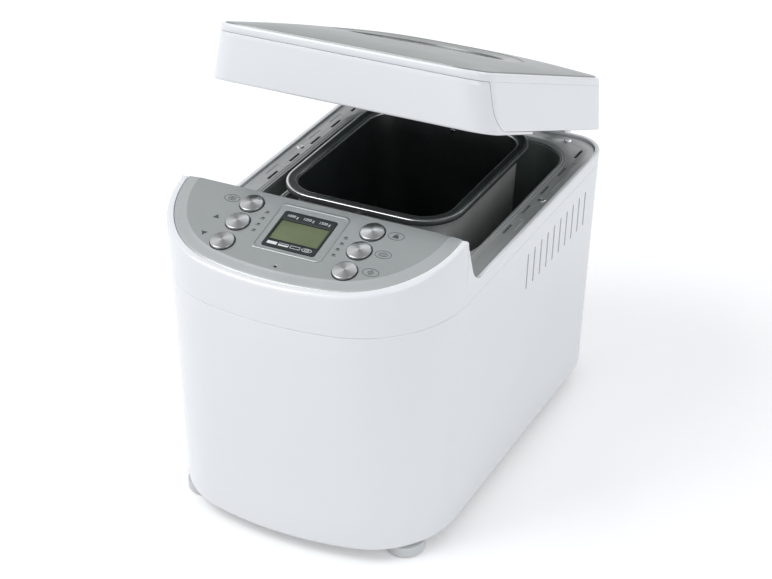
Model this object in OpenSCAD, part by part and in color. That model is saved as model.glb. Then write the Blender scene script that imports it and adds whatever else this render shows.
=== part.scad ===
// Bread machine: tapered two-shell housing, sloping D-shaped control panel, baking chamber
// with a heater loop, belt drive, lift-out pan with a kneading paddle, and a hinged lid.
// Millimetres. +X is the machine's right side seen from the front, +Y its rear, +Z up.
// The origin is on the table, under the middle of the machine at rest with its lid ajar.

/* [Body] */
// Width across the top frame
body_w = 243; // [238:1:256]
// Depth of the housing at the top frame
body_d = 368.5; // [364:0.5:380]
// Height of the top frame above the table
strip_h = 214; // [208:1:224]
// Height of the feet
foot_h = 10; // [8:1:14]
// How far each side leans in towards the base
side_draft = 4.7; // [2:0.1:6]
// How far the front leans in towards the base
front_draft = 2; // [0:0.5:4]
// How far the back leans in towards the base
rear_draft = 17; // [12:1:20]
// Radius of the bowed front seen from above
front_arc_r = 271; // [265:1:300]
// Radius of the two front corners seen from above
front_corner_r = 86; // [82:1:90]
// How much tighter that corner is at the foot of the housing
corner_tightens = 14; // [0:1:16]
// Radius of the two rear corners seen from above
rear_corner_r = 30; // [24:1:36]
// Wall thickness of the plastic shells
wall = 3; // [2.4:0.1:3.4]
// Distance of the shell seam below the top frame
seam_drop = 10.6; // [9:0.2:13]

/* [Control panel] */
// Rise of the panel's rear edge above the top frame
panel_rise = 43; // [40:1:46]
// Depth of the panel from the front of the body to its rear edge
panel_d = 88.5; // [86:0.5:92]
// Slope of the panel
panel_tilt = 13.5; // [12:0.5:15]
// Lean of the wall behind the panel
valley_rake = 18; // [15:1:20]
// Width of the white lip around the panel
lip = 5.5; // [5:0.5:7]
// Diameter of the buttons
button_dia = 18.6; // [17:0.2:19]
// Height of the buttons above the panel
button_proud = 2.5; // [2:0.1:3]
// Travel of the buttons
button_travel = 0.8; // [0.5:0.1:1]
// Distance of the button columns from the middle
button_x = 51.3; // [49:0.1:55]
// Width of the display frame
lcd_w = 45; // [42:1:48]
// Length of the display frame down the slope
lcd_l = 40; // [38:1:42]

/* [Chamber and pan] */
// Distance from each side of the body to the chamber opening
chamber_side = 23.5; // [22:0.5:26]
// Distance from the chamber opening to the back of the body
chamber_back = 24; // [22:0.5:28]
// Distance from the panel's rear edge to the chamber opening
chamber_gap = 36; // [34:1:40]
// Height of the chamber floor above the table
chamber_floor = 79; // [76:1:84]
// Corner radius of the chamber
chamber_r = 37; // [30:1:42]
// Thickness of the chamber's sheet steel
sheet = 1; // [0.8:0.1:1.2]
// Gap between the pan's rim and the chamber wall on each side
pan_side = 21; // [19:0.5:23]
// Gap between the pan's rim and the front wall of the chamber
pan_front = 17; // [15:1:20]
// Gap between the pan's rim and the rear wall of the chamber
pan_back = 20; // [18:1:24]
// Height of the pan's floor above the chamber floor
pan_foot_h = 24; // [22:1:26]
// Height of the pan itself
pan_h = 128; // [120:1:132]
// Wall thickness of the pan
pan_wall = 1.6; // [1.2:0.1:2]

/* [Drive] */
// Diameter of the drive shafts
shaft_dia = 8; // [7:0.5:9]
// Pitch radius of the large pulley
large_pulley_r = 45; // [40:1:48]
// Pitch radius of the motor pulley
motor_pulley_r = 9; // [8:0.5:10]
// Radius of the motor
motor_r = 31; // [28:1:33]
// Height of the motor
motor_len = 64; // [58:1:68]

/* [Lid] */
// Angle between the closed lid and its rest pose
lid_rest = 23; // [20:1:26]
// Height of the lid's sides above the top frame
lid_side_h = 46.6; // [45:0.1:48]
// Height of the crown of the lid's cap above its sides
lid_crown = 8; // [6:0.5:9]
// Gap between the closed lid and the top frame
lid_gap = 2.5; // [2:0.1:3.5]
// Distance of the hinge axis behind the housing
hinge_back = 12; // [11.5:0.5:14]
// Height of the hinge axis above the top frame
hinge_rise = 6; // [5.5:0.5:8]
// Radius of the hinge knuckles
knuckle_r = 7; // [6:0.5:7.5]
// Diameter of the hinge pins
hinge_pin_dia = 5; // [4:0.5:6]

/* [Fits] */
// Radial clearance of a shaft that turns in its bore
running_fit = 0.05; // [0.02:0.01:0.08]
// Clearance between pieces that are assembled by hand
seat_fit = 0.3; // [0.25:0.05:0.4]

/* [Hidden] */
$fn = 72;
eps = 0.01;
y_front = -(body_d + hinge_back + knuckle_r) / 2;
y_rear = y_front + body_d;
y_peak = y_front + panel_d;
z_peak = strip_h + panel_rise;
seam_z = strip_h - seam_drop;
slope = tan(panel_tilt);
valley_fillet = 20;
panel_sheet = 3;
// Thickness and ledge of the pressed steel frame around the chamber
frame_sheet = 1.2;
frame_drop = 2;
frame_rim = 4;
frame_top = strip_h - frame_drop;
frame_low = frame_top - frame_sheet;
base_t = 3;
base_top = foot_h + base_t;
edge_r = 3;
// The chamber and the pan, seen from above
chamber_y0 = y_peak + chamber_gap;
chamber_w = body_w - 2 * chamber_side;
chamber_d = y_rear - chamber_back - chamber_y0;
chamber_y1 = chamber_y0 + chamber_d;
chamber_yc = chamber_y0 + chamber_d / 2;
chamber_flange = 7;
pan_w = chamber_w - 2 * pan_side;
pan_d = chamber_d - pan_front - pan_back;
pan_yc = chamber_y0 + pan_front + pan_d / 2;
pan_low = chamber_floor + pan_foot_h;
pan_rim_z = pan_low + pan_h;
pan_rim = 10;
pan_draft = 8;
pan_r = 34;
// The drive line
shaft_r = shaft_dia / 2;
drive_y = pan_yc;
pulley_low = base_top + 20;
pulley_h = 9;
belt_t = 2.4;
bearing_r = 15;
dog_r = 16;
motor_y = chamber_y0 - motor_r - 30;
motor_low = pulley_low + pulley_h + 12;
bracket_t = 2;
// The lid, described closed and then turned to its rest angle
hinge_y = y_rear + hinge_back;
hinge_z = strip_h + hinge_rise;
lid_half_w = body_w / 2;
lid_front = y_peak + 0.25;
lid_rake = valley_rake;
lid_rear = y_rear - 8;
lid_side_draft = 8.5;
lid_wall = 2.6;
lid_low = strip_h + lid_gap;
lid_top = strip_h + lid_side_h;
lid_corner_r = 22;
window_y = (lid_front + lid_rear) / 2 + 5.875;
// Flat border beside the oval dish, and the dish's width down to the glass
window_border = 29;
dish_w = 17;
window_rx = lid_half_w - lid_side_draft - window_border;
window_ry = 66;
glass_rx = window_rx - dish_w;
glass_ry = window_ry - dish_w + 1;
liner_rise = 28;
liner_z = lid_low + liner_rise;
liner_t = 0.8;

// ---------- outlines and lofts ----------

// Points of an arc about c, from angle a0 to a1
function arc(c, r, a0, a1, n) =
    [for (i = [0 : n]) let (a = a0 + (a1 - a0) * i / n) [c[0] + r * cos(a), c[1] + r * sin(a)]];

// Right half of a plan outline from the front middle to the rear: a bowed front of radius ra
// that runs into a corner of radius rc, a straight side at half width w, a rear corner rr
function half_outline(w, yf, yr, ra, rc, rr, n) =
    let (
        cx = w - rc,
        cya = yf + ra,
        cy = cya - sqrt(pow(ra - rc, 2) - cx * cx),
        turn = atan2(cx, cya - cy)
    )
    concat(
        arc([0, cya], ra, -90, turn - 90, n),
        [for (p = [1 : n]) arc([cx, cy], rc, turn - 90, 0, n)[p]],
        arc([w - rr, yr - rr], rr, 0, 90, n)
    );

// The whole outline, counter-clockwise seen from above
function both_sides(half) =
    concat(half, [for (i = [len(half) - 1 : -1 : 1]) [-half[i][0], half[i][1]]]);

// A rounded rectangle as points, counter-clockwise, about c
function rounded(w, d, r, c, n) =
    concat(
        arc([c[0] + w / 2 - r, c[1] - d / 2 + r], r, -90, 0, n),
        arc([c[0] + w / 2 - r, c[1] + d / 2 - r], r, 0, 90, n),
        arc([c[0] - w / 2 + r, c[1] + d / 2 - r], r, 90, 180, n),
        arc([c[0] - w / 2 + r, c[1] - d / 2 + r], r, 180, 270, n)
    );

// An oval as points about c
function oval(rx, ry, c, n) =
    [for (i = [0 : n - 1]) let (a = 360 * i / n) [c[0] + rx * cos(a), c[1] + ry * sin(a)]];

// Housing outline at height z, moved in from the outer surface by inset
function shell_ring(z, inset, n = 9) =
    let (k = (strip_h - z) / (strip_h - foot_h))
    both_sides(half_outline(
        body_w / 2 - side_draft * k - inset,
        y_front + front_draft * k + inset,
        y_rear - rear_draft * k - inset,
        front_arc_r - inset, front_corner_r - corner_tightens * max(k, 0) - inset, rear_corner_r - inset, n
    ));

// Solid through a stack of [height, outline] rings of equal point count. With a lean, each
// point also rises with its distance behind the panel's rear edge.
module loft(rings, lean = 0) {
    n = len(rings[0][1]);
    last = len(rings) - 1;
    points = [
        for (ring = rings) for (p = ring[1]) [p[0], p[1], ring[0] + (p[1] - y_peak) * lean]
    ];
    sides = [
        for (k = [0 : last - 1]) for (i = [0 : n - 1])
            let (a = k * n + i, b = k * n + (i + 1) % n)
            each [[a, a + n, b + n], [a, b + n, b]]
    ];
    polyhedron(
        points = points,
        faces = concat(
            [[for (i = [0 : n - 1]) i]],
            sides,
            [[for (i = [n - 1 : -1 : 0]) last * n + i]]
        ),
        convexity = 8
    );
}

// Extrude a side-view outline of [y, z] points across the width from -half to half
module across(points, half) {
    rotate([90, 0, 90])
        translate([0, 0, -half])
            linear_extrude(2 * half) polygon(points);
}

// The panel's own frame: x across, y up the slope from its rear edge, z off its face
module on_panel() {
    translate([0, y_peak, z_peak]) rotate([panel_tilt, 0, 0]) children();
}

// A point s down the slope from the panel's rear edge
module at_slope(x, s, h = 0) {
    on_panel() translate([x, -s, h]) children();
}

// The lid is described closed and turned to its rest angle about the hinge axis
module lid_at_rest() {
    translate([0, hinge_y, hinge_z]) rotate([-lid_rest, 0, 0])
        translate([0, -hinge_y, -hinge_z]) children();
}

// Box between two corners
module span(lo, hi) {
    translate(lo) cube(hi - lo);
}

// ---------- housing ----------

// Height of the panel's plane, and place of the wall behind it, in the side view
function panel_z(y) = z_peak + (y - y_peak) * slope;
function valley_y(z) = y_peak + (z_peak - z) * tan(valley_rake);

// Side view of the upper shell: sloping panel, raked wall, fillet and level rim
function upper_profile() =
    let (
        c = [valley_y(strip_h + valley_fillet) + valley_fillet / cos(valley_rake),
             strip_h + valley_fillet],
        front = y_front - wall
    )
    concat(
        [[front, seam_z], [y_rear + wall, seam_z], [y_rear + wall, strip_h]],
        arc(c, valley_fillet, 270, 180 + valley_rake, 12),
        [[y_peak, z_peak], [front, panel_z(front)]]
    );

// Space in front of the raked wall and under the panel, t in from the faces
function front_room(t, low) =
    let (
        shift = t / cos(valley_rake),
        drop = t / cos(panel_tilt),
        top_y = y_peak - shift + drop * tan(valley_rake)
    )
    [
        [y_front - wall, low], [valley_y(low) - shift, low],
        [top_y, panel_z(top_y) - drop], [y_front - wall, panel_z(y_front - wall) - drop]
    ];

// Everything behind the raked wall between two heights
function rear_room(low, high) =
    [[valley_y(low), low], [y_rear + wall, low], [y_rear + wall, high], [valley_y(high), high]];

vent_count = 10;
vent_pitch = 12.93;
vent_w = 2.5;
vent_h = 31;
vent_lean = 4;
vent_top = strip_h - 24.5;
vent_y0 = y_rear - 168.8;

// Ten leaning slots through each side
module vents() {
    for (side = [-1, 1])
        for (i = [0 : vent_count - 1])
            translate([side * body_w / 2, vent_y0 + i * vent_pitch, vent_top - vent_h / 2])
                rotate([-vent_lean, 0, 0])
                    cube([4 * wall, vent_w, vent_h], center = true);
}

gland_x = -72;
gland_z = foot_h + 28;
gland_r = 5;
gland_flange = 3;
rear_lean = atan(rear_draft / (strip_h - foot_h));

// A frame on the rear wall's outer surface, z pointing out of the machine
module on_rear(x, z) {
    translate([x, y_rear - rear_draft * (strip_h - z) / (strip_h - foot_h), z])
        rotate([-90 - rear_lean, 0, 0]) children();
}

// Lower shell: tapered walls with a small rounded edge round the base
module main_housing() {
    color("white")
        difference() {
            loft([
                [foot_h, shell_ring(foot_h, 0.6 * edge_r)],
                [foot_h + 0.3 * edge_r, shell_ring(foot_h + 0.3 * edge_r, 0.25 * edge_r)],
                [foot_h + edge_r, shell_ring(foot_h + edge_r, 0)],
                [seam_z, shell_ring(seam_z, 0)]
            ]);
            loft([
                [foot_h - 1, shell_ring(foot_h - 1, wall)],
                [seam_z + 1, shell_ring(seam_z + 1, wall)]
            ]);
            vents();
            on_rear(gland_x, gland_z) cylinder(h = 6 * wall, r = gland_r + seat_fit, center = true);
        }
}

stem_r = 4;
foot_r = 16;
foot_inset = 26.8;
foot_x = body_w / 2 - side_draft - foot_inset;
feet_at = [for (sx = [-1, 1]) for (y = [y_front + 44, y_rear - rear_draft - 36]) [sx * foot_x, y]];

// Floor of the machine, let into the lower shell
module base_plate() {
    color("lightgrey")
        difference() {
            loft([
                [foot_h, shell_ring(foot_h, wall + seat_fit)],
                [base_top, shell_ring(base_top, wall + seat_fit)]
            ]);
            for (p = feet_at)
                translate([p[0], p[1], foot_h - 1]) cylinder(h = base_t + 2, r = stem_r);
            for (i = [0 : 6])
                span([-45, drive_y - 33 + 11 * i, foot_h - 1], [45, drive_y - 29 + 11 * i, base_top + 1]);
        }
}

// Four round feet, each with a stem through the floor
module feet() {
    color("gainsboro")
        for (p = feet_at)
            translate([p[0], p[1], 0])
                difference() {
                    union() {
                        cylinder(h = 2, r1 = foot_r - 2, r2 = foot_r);
                        translate([0, 0, 2]) cylinder(h = foot_h - 2, r = foot_r);
                        cylinder(h = base_top, r = stem_r);
                    }
                    translate([0, 0, base_top - 8]) cylinder(h = 9, r = 1.6);
                }
}

// Washer-head screws that hold the feet from inside
module foot_screws() {
    color("silver")
        for (p = feet_at)
            translate([p[0], p[1], base_top]) {
                cylinder(h = 2, r = 5.5);
                translate([0, 0, -7]) cylinder(h = 7, r = 1.6);
            }
}

// Two frame screws beside the chamber opening and two behind it
side_screw = 13;
rear_screw = 11;
frame_screws_at = [
    for (sx = [-1, 1])
        for (p = [
            [chamber_w / 2 + side_screw, chamber_yc + side_screw],
            [chamber_w / 2 - 10, chamber_y1 + rear_screw]
        ]) [sx * p[0], p[1]]
];
screw_r = 1.6;
deck_top = frame_low - sheet;

// Opening in the deck that takes the chamber
module chamber_plan(grow) {
    w = chamber_w + 2 * grow;
    d = chamber_d + 2 * grow;
    r = chamber_r + grow;
    translate([0, chamber_yc]) {
        square([w - 2 * r, d], center = true);
        square([w, d - 2 * r], center = true);
        for (sx = [-1, 1])
            for (sy = [-1, 1]) translate([sx * (w / 2 - r), sy * (d / 2 - r)]) circle(r);
    }
}

// Upper shell: panel collar with a raked rear wall, and a deck with a raised rim behind it
module top_housing() {
    color("white")
        difference() {
            intersection() {
                loft([
                    [seam_z, shell_ring(seam_z, 0)],
                    [z_peak + wall, shell_ring(z_peak + wall, 0)]
                ]);
                across(upper_profile(), body_w);
            }
            // inside the collar
            intersection() {
                loft([
                    [seam_z - 1, shell_ring(seam_z - 1, wall)],
                    [z_peak, shell_ring(z_peak, wall)]
                ]);
                across(front_room(wall, seam_z - 2), body_w);
            }
            // seat of the fascia and the opening under it
            loft([
                [z_peak - panel_sheet, shell_ring(z_peak, lip)],
                [z_peak + panel_rise, shell_ring(z_peak, lip)]
            ], slope);
            intersection() {
                loft([
                    [z_peak - 4 * panel_sheet, shell_ring(z_peak, lip + 5)],
                    [z_peak + panel_rise, shell_ring(z_peak, lip + 5)]
                ], slope);
                span([-body_w, y_front, seam_z], [body_w, front_room(wall, seam_z)[2][0], z_peak + wall]);
            }
            // pocket of the steel frame, inside the rim
            intersection() {
                loft([
                    [deck_top, shell_ring(deck_top, frame_rim)],
                    [z_peak + wall, shell_ring(z_peak + wall, frame_rim)]
                ]);
                across(rear_room(deck_top, z_peak + wall), body_w);
            }
            // under the deck
            intersection() {
                loft([
                    [seam_z - 1, shell_ring(seam_z - 1, wall)],
                    [deck_top - wall, shell_ring(deck_top - wall, wall)]
                ]);
                across(rear_room(seam_z - 2, deck_top - wall), body_w);
            }
            translate([0, 0, seam_z - 1]) linear_extrude(2 * seam_drop) chamber_plan(sheet + seat_fit);
            for (p = frame_screws_at)
                translate([p[0], p[1], seam_z]) cylinder(h = 2 * seam_drop, r = screw_r);
        }
}

// ---------- control panel ----------

button_r = button_dia / 2;
button_s = [15, 36.6, 59.5];
lcd_s = 13.6;
plateau = 1;
fascia_band = 9;
board_h = -17;
board_t = 1.6;
switch_h = 3;
post_at = [[-34, 9], [34, 9], [-34, 67], [34, 67]];
post_r = 3;
post_bore = 1.3;
light_s = 71;
light_r = 1.5;

// Place children at each button: left column, then right column
module at_button(i, h = 0) {
    at_slope((i < 3 ? -1 : 1) * button_x, button_s[i % 3], h) children();
}

// Rectangle w by l, centred across the panel and starting s down the slope
module panel_block(w, s, l, low, high) {
    on_panel() span([-w / 2, -s - l, low], [w / 2, -s, high]);
}

// Panel plate: raised plateau with a bevelled band round its bowed front
module control_fascia() {
    inset = lip + seat_fit;
    color("silver")
        difference() {
            union() {
                intersection() {
                    loft([
                        [z_peak - panel_sheet, shell_ring(z_peak, inset)],
                        [z_peak - 0.6, shell_ring(z_peak, inset)],
                        [z_peak + plateau, shell_ring(z_peak, inset + fascia_band)]
                    ], slope);
                    across([
                        [y_front, seam_z], [valley_y(seam_z), seam_z],
                        [valley_y(z_peak + wall), z_peak + wall], [y_front, z_peak + wall]
                    ], body_w);
                }
                for (p = post_at)
                    at_slope(p[0], p[1], board_h) cylinder(h = -board_h - 1, r = post_r);
            }
            for (i = [0 : 5])
                at_button(i, board_h) cylinder(h = 30, r = button_r + seat_fit);
            for (p = post_at)
                at_slope(p[0], p[1], board_h - 1) cylinder(h = 12, r = post_bore);
            panel_block(lcd_w + 2 * seat_fit, lcd_s - seat_fit, lcd_l + 2 * seat_fit, board_h, 9);
            at_slope(0, light_s, board_h) cylinder(h = 30, r = light_r);
        }
}

window_s = lcd_s + 9.7;
window_l = 21.7;
window_w = 41;

// Dark surround of the display
module display_frame() {
    color([0.16, 0.19, 0.19])
        difference() {
            panel_block(lcd_w, lcd_s, lcd_l, -2, plateau + 0.5);
            panel_block(window_w, window_s, window_l, -3, plateau + 1);
        }
}

// Clear pane let into the surround
module display_window() {
    color([0.55, 0.62, 0.48])
        panel_block(window_w - seat_fit, window_s + seat_fit / 2, window_l - seat_fit, -2, plateau);
}

// Display glass and its carrier, standing on the board
module display_module() {
    color([0.3, 0.35, 0.3])
        panel_block(lcd_w - 2, lcd_s + 1, lcd_l - 2, board_h, -2 - eps);
}

board_edge = 10.7;
board_start = 4;
board_len = 68;

// Circuit board under the panel, with a switch below each button
module control_board() {
    color("darkgreen")
        difference() {
            union() {
                panel_block(2 * (button_x + board_edge), board_start, board_len, board_h - board_t, board_h);
                for (i = [0 : 5])
                    at_button(i, board_h + switch_h / 2) cube([6, 6, switch_h], center = true);
            }
            for (p = post_at)
                at_slope(p[0], p[1], board_h - 2 * board_t) cylinder(h = 9, r = post_bore + 0.2);
        }
}

// Screws that hold the board to the posts of the fascia
module fascia_screws() {
    color("silver")
        for (p = post_at)
            at_slope(p[0], p[1], board_h - board_t) {
                translate([0, 0, -1.6]) cylinder(h = 1.6, r = 3);
                cylinder(h = 9, r = post_bore);
            }
}

// One push button: domed cap, retaining flange under the panel and a plunger
module push_button(i) {
    flange_top = -panel_sheet - seat_fit;
    dome_h = 0.6;
    dome_low = plateau + button_proud - dome_h;
    color("gainsboro")
        at_button(i) {
            translate([0, 0, flange_top]) cylinder(h = dome_low - flange_top, r = button_r);
            translate([0, 0, dome_low]) cylinder(h = dome_h, r1 = button_r, r2 = button_r - 0.8);
            translate([0, 0, flange_top - 1.4]) cylinder(h = 1.4, r = button_r + 1.2);
            translate([0, 0, board_h + switch_h + button_travel + seat_fit])
                cylinder(h = flange_top - 1 - board_h - switch_h - button_travel - seat_fit, r = 2);
        }
}

module select_button() push_button(0);
module raise_button() push_button(1);
module lower_button() push_button(2);
module weight_button() push_button(3);
module crust_button() push_button(4);
module start_button() push_button(5);

// ---------- chamber ----------

slot_count = 5;
slot_len = 16;
slot_w = 2.4;
slot_edge = 7.5;
slot_start = 60.4;
slot_x = chamber_w / 2 + slot_edge;
slot_y0 = chamber_y0 + slot_start;
slot_pitch = (chamber_d - slot_start - slot_len) / (slot_count - 1);

// Steel frame round the chamber opening, with a row of slots down each side
module chamber_frame() {
    color("silver")
        difference() {
            intersection() {
                difference() {
                    loft([
                        [deck_top, shell_ring(deck_top, frame_rim + seat_fit)],
                        [frame_top, shell_ring(frame_top, frame_rim + seat_fit)]
                    ]);
                    loft([
                        [deck_top - 1, shell_ring(deck_top, frame_rim + seat_fit + frame_sheet)],
                        [frame_low, shell_ring(frame_low, frame_rim + seat_fit + frame_sheet)]
                    ]);
                }
                span([-body_w, valley_y(deck_top) + seat_fit, deck_top], [body_w, y_rear, frame_top]);
            }
            translate([0, 0, deck_top - 1]) linear_extrude(9) chamber_plan(0);
            for (sx = [-1, 1])
                for (i = [0 : slot_count - 1])
                    translate([sx * slot_x, slot_y0 + i * slot_pitch + slot_len / 2, frame_top])
                        cube([slot_w, slot_len, 4 * frame_sheet], center = true);
            for (p = frame_screws_at)
                translate([p[0], p[1], deck_top - 1]) cylinder(h = 9, r = screw_r + 0.1);
        }
}

// Cross-head screws through the frame into the deck
module frame_screws() {
    color("silver")
        for (p = frame_screws_at)
            translate([p[0], p[1], frame_top]) difference() {
                union() {
                    cylinder(h = 1, r1 = 3.4, r2 = 2.4);
                    translate([0, 0, -frame_drop - 4]) cylinder(h = frame_drop + 4, r = screw_r);
                }
                translate([0, 0, 1]) cube([0.9, 3.4, 1.2], center = true);
                translate([0, 0, 1]) cube([3.4, 0.9, 1.2], center = true);
            }
}

heater_z = chamber_floor + 24;
heater_r = 3.2;
heater_gap = 13;
heater_turn = 26;
lead_x = 24;
lead_turn = 12;
sensor_x = 56;
sensor_z = chamber_floor + 62;
sensor_r = 3.5;
neck_r = 9;

// Deep-drawn steel box with a flange that rests on the deck
module baking_chamber() {
    depth = frame_low - chamber_floor;
    color([0.32, 0.37, 0.36])
        difference() {
            union() {
                translate([0, 0, chamber_floor - sheet]) linear_extrude(depth + sheet) chamber_plan(sheet);
                translate([0, 0, deck_top]) linear_extrude(sheet) chamber_plan(chamber_flange);
            }
            translate([0, 0, chamber_floor]) linear_extrude(depth + 1) chamber_plan(0);
            translate([0, drive_y, chamber_floor - 3 * sheet]) cylinder(h = 5 * sheet, r = neck_r + seat_fit);
            for (sx = [-1, 1])
                translate([sx * lead_x, chamber_y0 - 2 * sheet, heater_z])
                    rotate([-90, 0, 0]) cylinder(h = 4 * sheet, r = heater_r + seat_fit);
            translate([sensor_x, chamber_y0 - 2 * sheet, sensor_z])
                rotate([-90, 0, 0]) cylinder(h = 4 * sheet, r = sensor_r + seat_fit);
        }
}

// A straight length of heater rod between two points at the heater's height
module rod(a, b, r) {
    d = b - a;
    translate([a[0], a[1], heater_z])
        rotate([0, 0, atan2(d[1], d[0])]) rotate([0, 90, 0]) cylinder(h = norm(d), r = r);
}

// A quarter bend of rod about c, from angle a0
module bend(c, turn, a0, r) {
    translate([c[0], c[1], heater_z])
        rotate([0, 0, a0]) rotate_extrude(angle = 90) translate([turn, 0]) circle(r);
}

// Heater loop round the foot of the pan, with both ends out through the front wall
module heater_loop(r) {
    x = chamber_w / 2 - heater_gap;
    y0 = chamber_y0 + heater_gap;
    y1 = chamber_y1 - heater_gap;
    t = heater_turn;
    rod([-x + t, y1], [x - t, y1], r);
    for (sx = [-1, 1]) {
        rod([sx * x, y0 + t], [sx * x, y1 - t], r);
        rod([sx * (x - t), y0], [sx * (lead_x + lead_turn), y0], r);
        rod([sx * lead_x, y0 - lead_turn], [sx * lead_x, y0 - heater_gap - 12], r);
    }
    bend([x - t, y1 - t], t, 0, r);
    bend([-x + t, y1 - t], t, 90, r);
    bend([-x + t, y0 + t], t, 180, r);
    bend([x - t, y0 + t], t, 270, r);
    bend([lead_x + lead_turn, y0 - lead_turn], lead_turn, 90, r);
    bend([-lead_x - lead_turn, y0 - lead_turn], lead_turn, 0, r);
}

module heater_element() {
    color("dimgray") heater_loop(heater_r);
}

clip_w = 10;
clip_reach = 52;

// Brackets that carry the heater from the chamber's side walls
module heater_clips() {
    x = chamber_w / 2;
    color("silver")
        difference() {
            for (sx = [-1, 1])
                for (sy = [-1, 1])
                    translate([sx * (x - heater_gap / 2 - 1.5), chamber_yc + sy * clip_reach, heater_z])
                        cube([heater_gap + 3, clip_w, 2 * heater_r + 3], center = true);
            heater_loop(heater_r);
        }
}

// Thermistor probe through the front wall of the chamber
module temperature_sensor() {
    color("silver")
        translate([sensor_x, chamber_y0 - sheet - 6, sensor_z]) rotate([-90, 0, 0]) {
            cylinder(h = 16, r = sensor_r);
            cylinder(h = 6, r = sensor_r + 4);
        }
}

// ---------- drive ----------

ring_r = 44;
ring_wall = 2;
spring_h = 20;
spring_t = 1;
spring_w = 16;
spring_foot = 10;

// Leaf springs on the chamber floor that grip the foot ring of the pan
module pan_springs() {
    color("silver")
        for (sx = [-1, 1])
            translate([sx * (ring_r + seat_fit + spring_t / 2), drive_y, chamber_floor]) {
                translate([0, 0, spring_h / 2]) cube([spring_t, spring_w, spring_h], center = true);
                translate([sx * spring_foot / 2, 0, spring_t / 2])
                    cube([spring_foot, spring_w, spring_t], center = true);
            }
}

pulley_room = 8;
bearing_low = pulley_low + pulley_h + pulley_room;
bearing_flange = 12;
bearing_flange_t = 4;

// Bearing block under the chamber floor, with a neck up through it
module drive_bearing() {
    color("dimgray")
        translate([0, drive_y, 0]) difference() {
            union() {
                translate([0, 0, bearing_low])
                    cylinder(h = chamber_floor - sheet - bearing_low, r = bearing_r);
                translate([0, 0, chamber_floor - sheet - bearing_flange_t])
                    cylinder(h = bearing_flange_t, r = bearing_r + bearing_flange);
                translate([0, 0, bearing_low]) cylinder(h = chamber_floor + 1 - bearing_low, r = neck_r);
            }
            translate([0, 0, bearing_low - 1]) cylinder(h = 60, r = shaft_r + running_fit);
        }
}

dog_low = chamber_floor + 1.5;
peg_r = 3;
peg_at = 11;

// Vertical shaft from the large pulley up through the chamber floor
module drive_shaft() {
    color("silver")
        translate([0, drive_y, pulley_low - 3]) cylinder(h = dog_low + 3 - pulley_low + 3, r = shaft_r);
}

// Driving dog: a disc with two pegs
module drive_dog() {
    color("gray")
        translate([0, drive_y, dog_low]) {
            difference() {
                cylinder(h = 3, r = dog_r);
                translate([0, 0, -1]) cylinder(h = 5, r = shaft_r);
            }
            for (sx = [-1, 1]) translate([sx * peg_at, 0, 3]) cylinder(h = 6.5, r = peg_r);
        }
}

// Pulley of pitch radius r on a shaft of radius bore, with a flange on each side
module pulley(r, bore, at_y) {
    translate([0, at_y, pulley_low]) difference() {
        union() {
            cylinder(h = pulley_h, r = r);
            cylinder(h = 1, r = r + 2);
            translate([0, 0, pulley_h - 1]) cylinder(h = 1, r = r + 2);
        }
        translate([0, 0, -1]) cylinder(h = pulley_h + 2, r = bore);
    }
}

module large_pulley() {
    color("dimgray")
        difference() {
            pulley(large_pulley_r, shaft_r, drive_y);
            for (a = [0 : 60 : 300])
                translate([0, drive_y, pulley_low - 1])
                    rotate([0, 0, a]) translate([large_pulley_r * 0.58, 0, 0])
                        cylinder(h = pulley_h + 2, r = large_pulley_r * 0.2);
        }
}

motor_shaft_r = 3;

module motor_pulley() {
    color("dimgray") pulley(motor_pulley_r, motor_shaft_r, motor_y);
}

module motor_shaft() {
    color("silver")
        translate([0, motor_y, pulley_low - 2])
            cylinder(h = motor_low + motor_len - 8 - pulley_low + 2, r = motor_shaft_r);
}

// Belt outline at a distance out from both pulleys
function belt_line(out) =
    let (turn = asin((large_pulley_r - motor_pulley_r) / (drive_y - motor_y)))
    concat(
        arc([0, drive_y], large_pulley_r + out, -turn, 180 + turn, 40),
        arc([0, motor_y], motor_pulley_r + out, 180 + turn, 360 - turn, 20)
    );

module drive_belt() {
    color([0.1, 0.1, 0.1])
        translate([0, 0, pulley_low + 1 + seat_fit])
            linear_extrude(pulley_h - 2 - 2 * seat_fit)
                difference() {
                    polygon(belt_line(seat_fit + belt_t));
                    polygon(belt_line(seat_fit));
                }
}

// Motor can with end boss and a deep bore for its rotor shaft
module motor() {
    color("gray")
        translate([0, motor_y, motor_low]) difference() {
            union() {
                cylinder(h = motor_len, r = motor_r);
                translate([0, 0, motor_len]) cylinder(h = 4, r = 10);
                translate([0, 0, -bracket_t]) cylinder(h = bracket_t, r = 9);
            }
            translate([0, 0, -bracket_t - 1])
                cylinder(h = motor_len - 6 + bracket_t, r = motor_shaft_r + running_fit);
        }
}

leg_x = 38;

// Bridge that carries the motor over the belt
module motor_bracket() {
    color("silver")
        difference() {
            union() {
                span([-leg_x, motor_y - 24, motor_low - bracket_t], [leg_x, motor_y + 24, motor_low]);
                for (sx = [-1, 1]) {
                    x = sx * (leg_x - bracket_t / 2);
                    translate([x, motor_y, (base_top + motor_low) / 2])
                        cube([bracket_t, 48, motor_low - base_top], center = true);
                    translate([x + sx * 6, motor_y, base_top + bracket_t / 2])
                        cube([12 + bracket_t, 48, bracket_t], center = true);
                }
            }
            translate([0, motor_y, motor_low - 2 * bracket_t]) cylinder(h = 3 * bracket_t, r = 9);
        }
}

board_side = 37.5;
board_lo = [board_side - body_w / 2, motor_y - 22];
board_size = [30, 58];
standoff_h = 8;
standoff_in = 4;
coil_size = [18, 20, 17];
coil_at = [6, 8];
capacitor_at = [15, 44];
capacitor_r = 6;
capacitor_h = 20;

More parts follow.
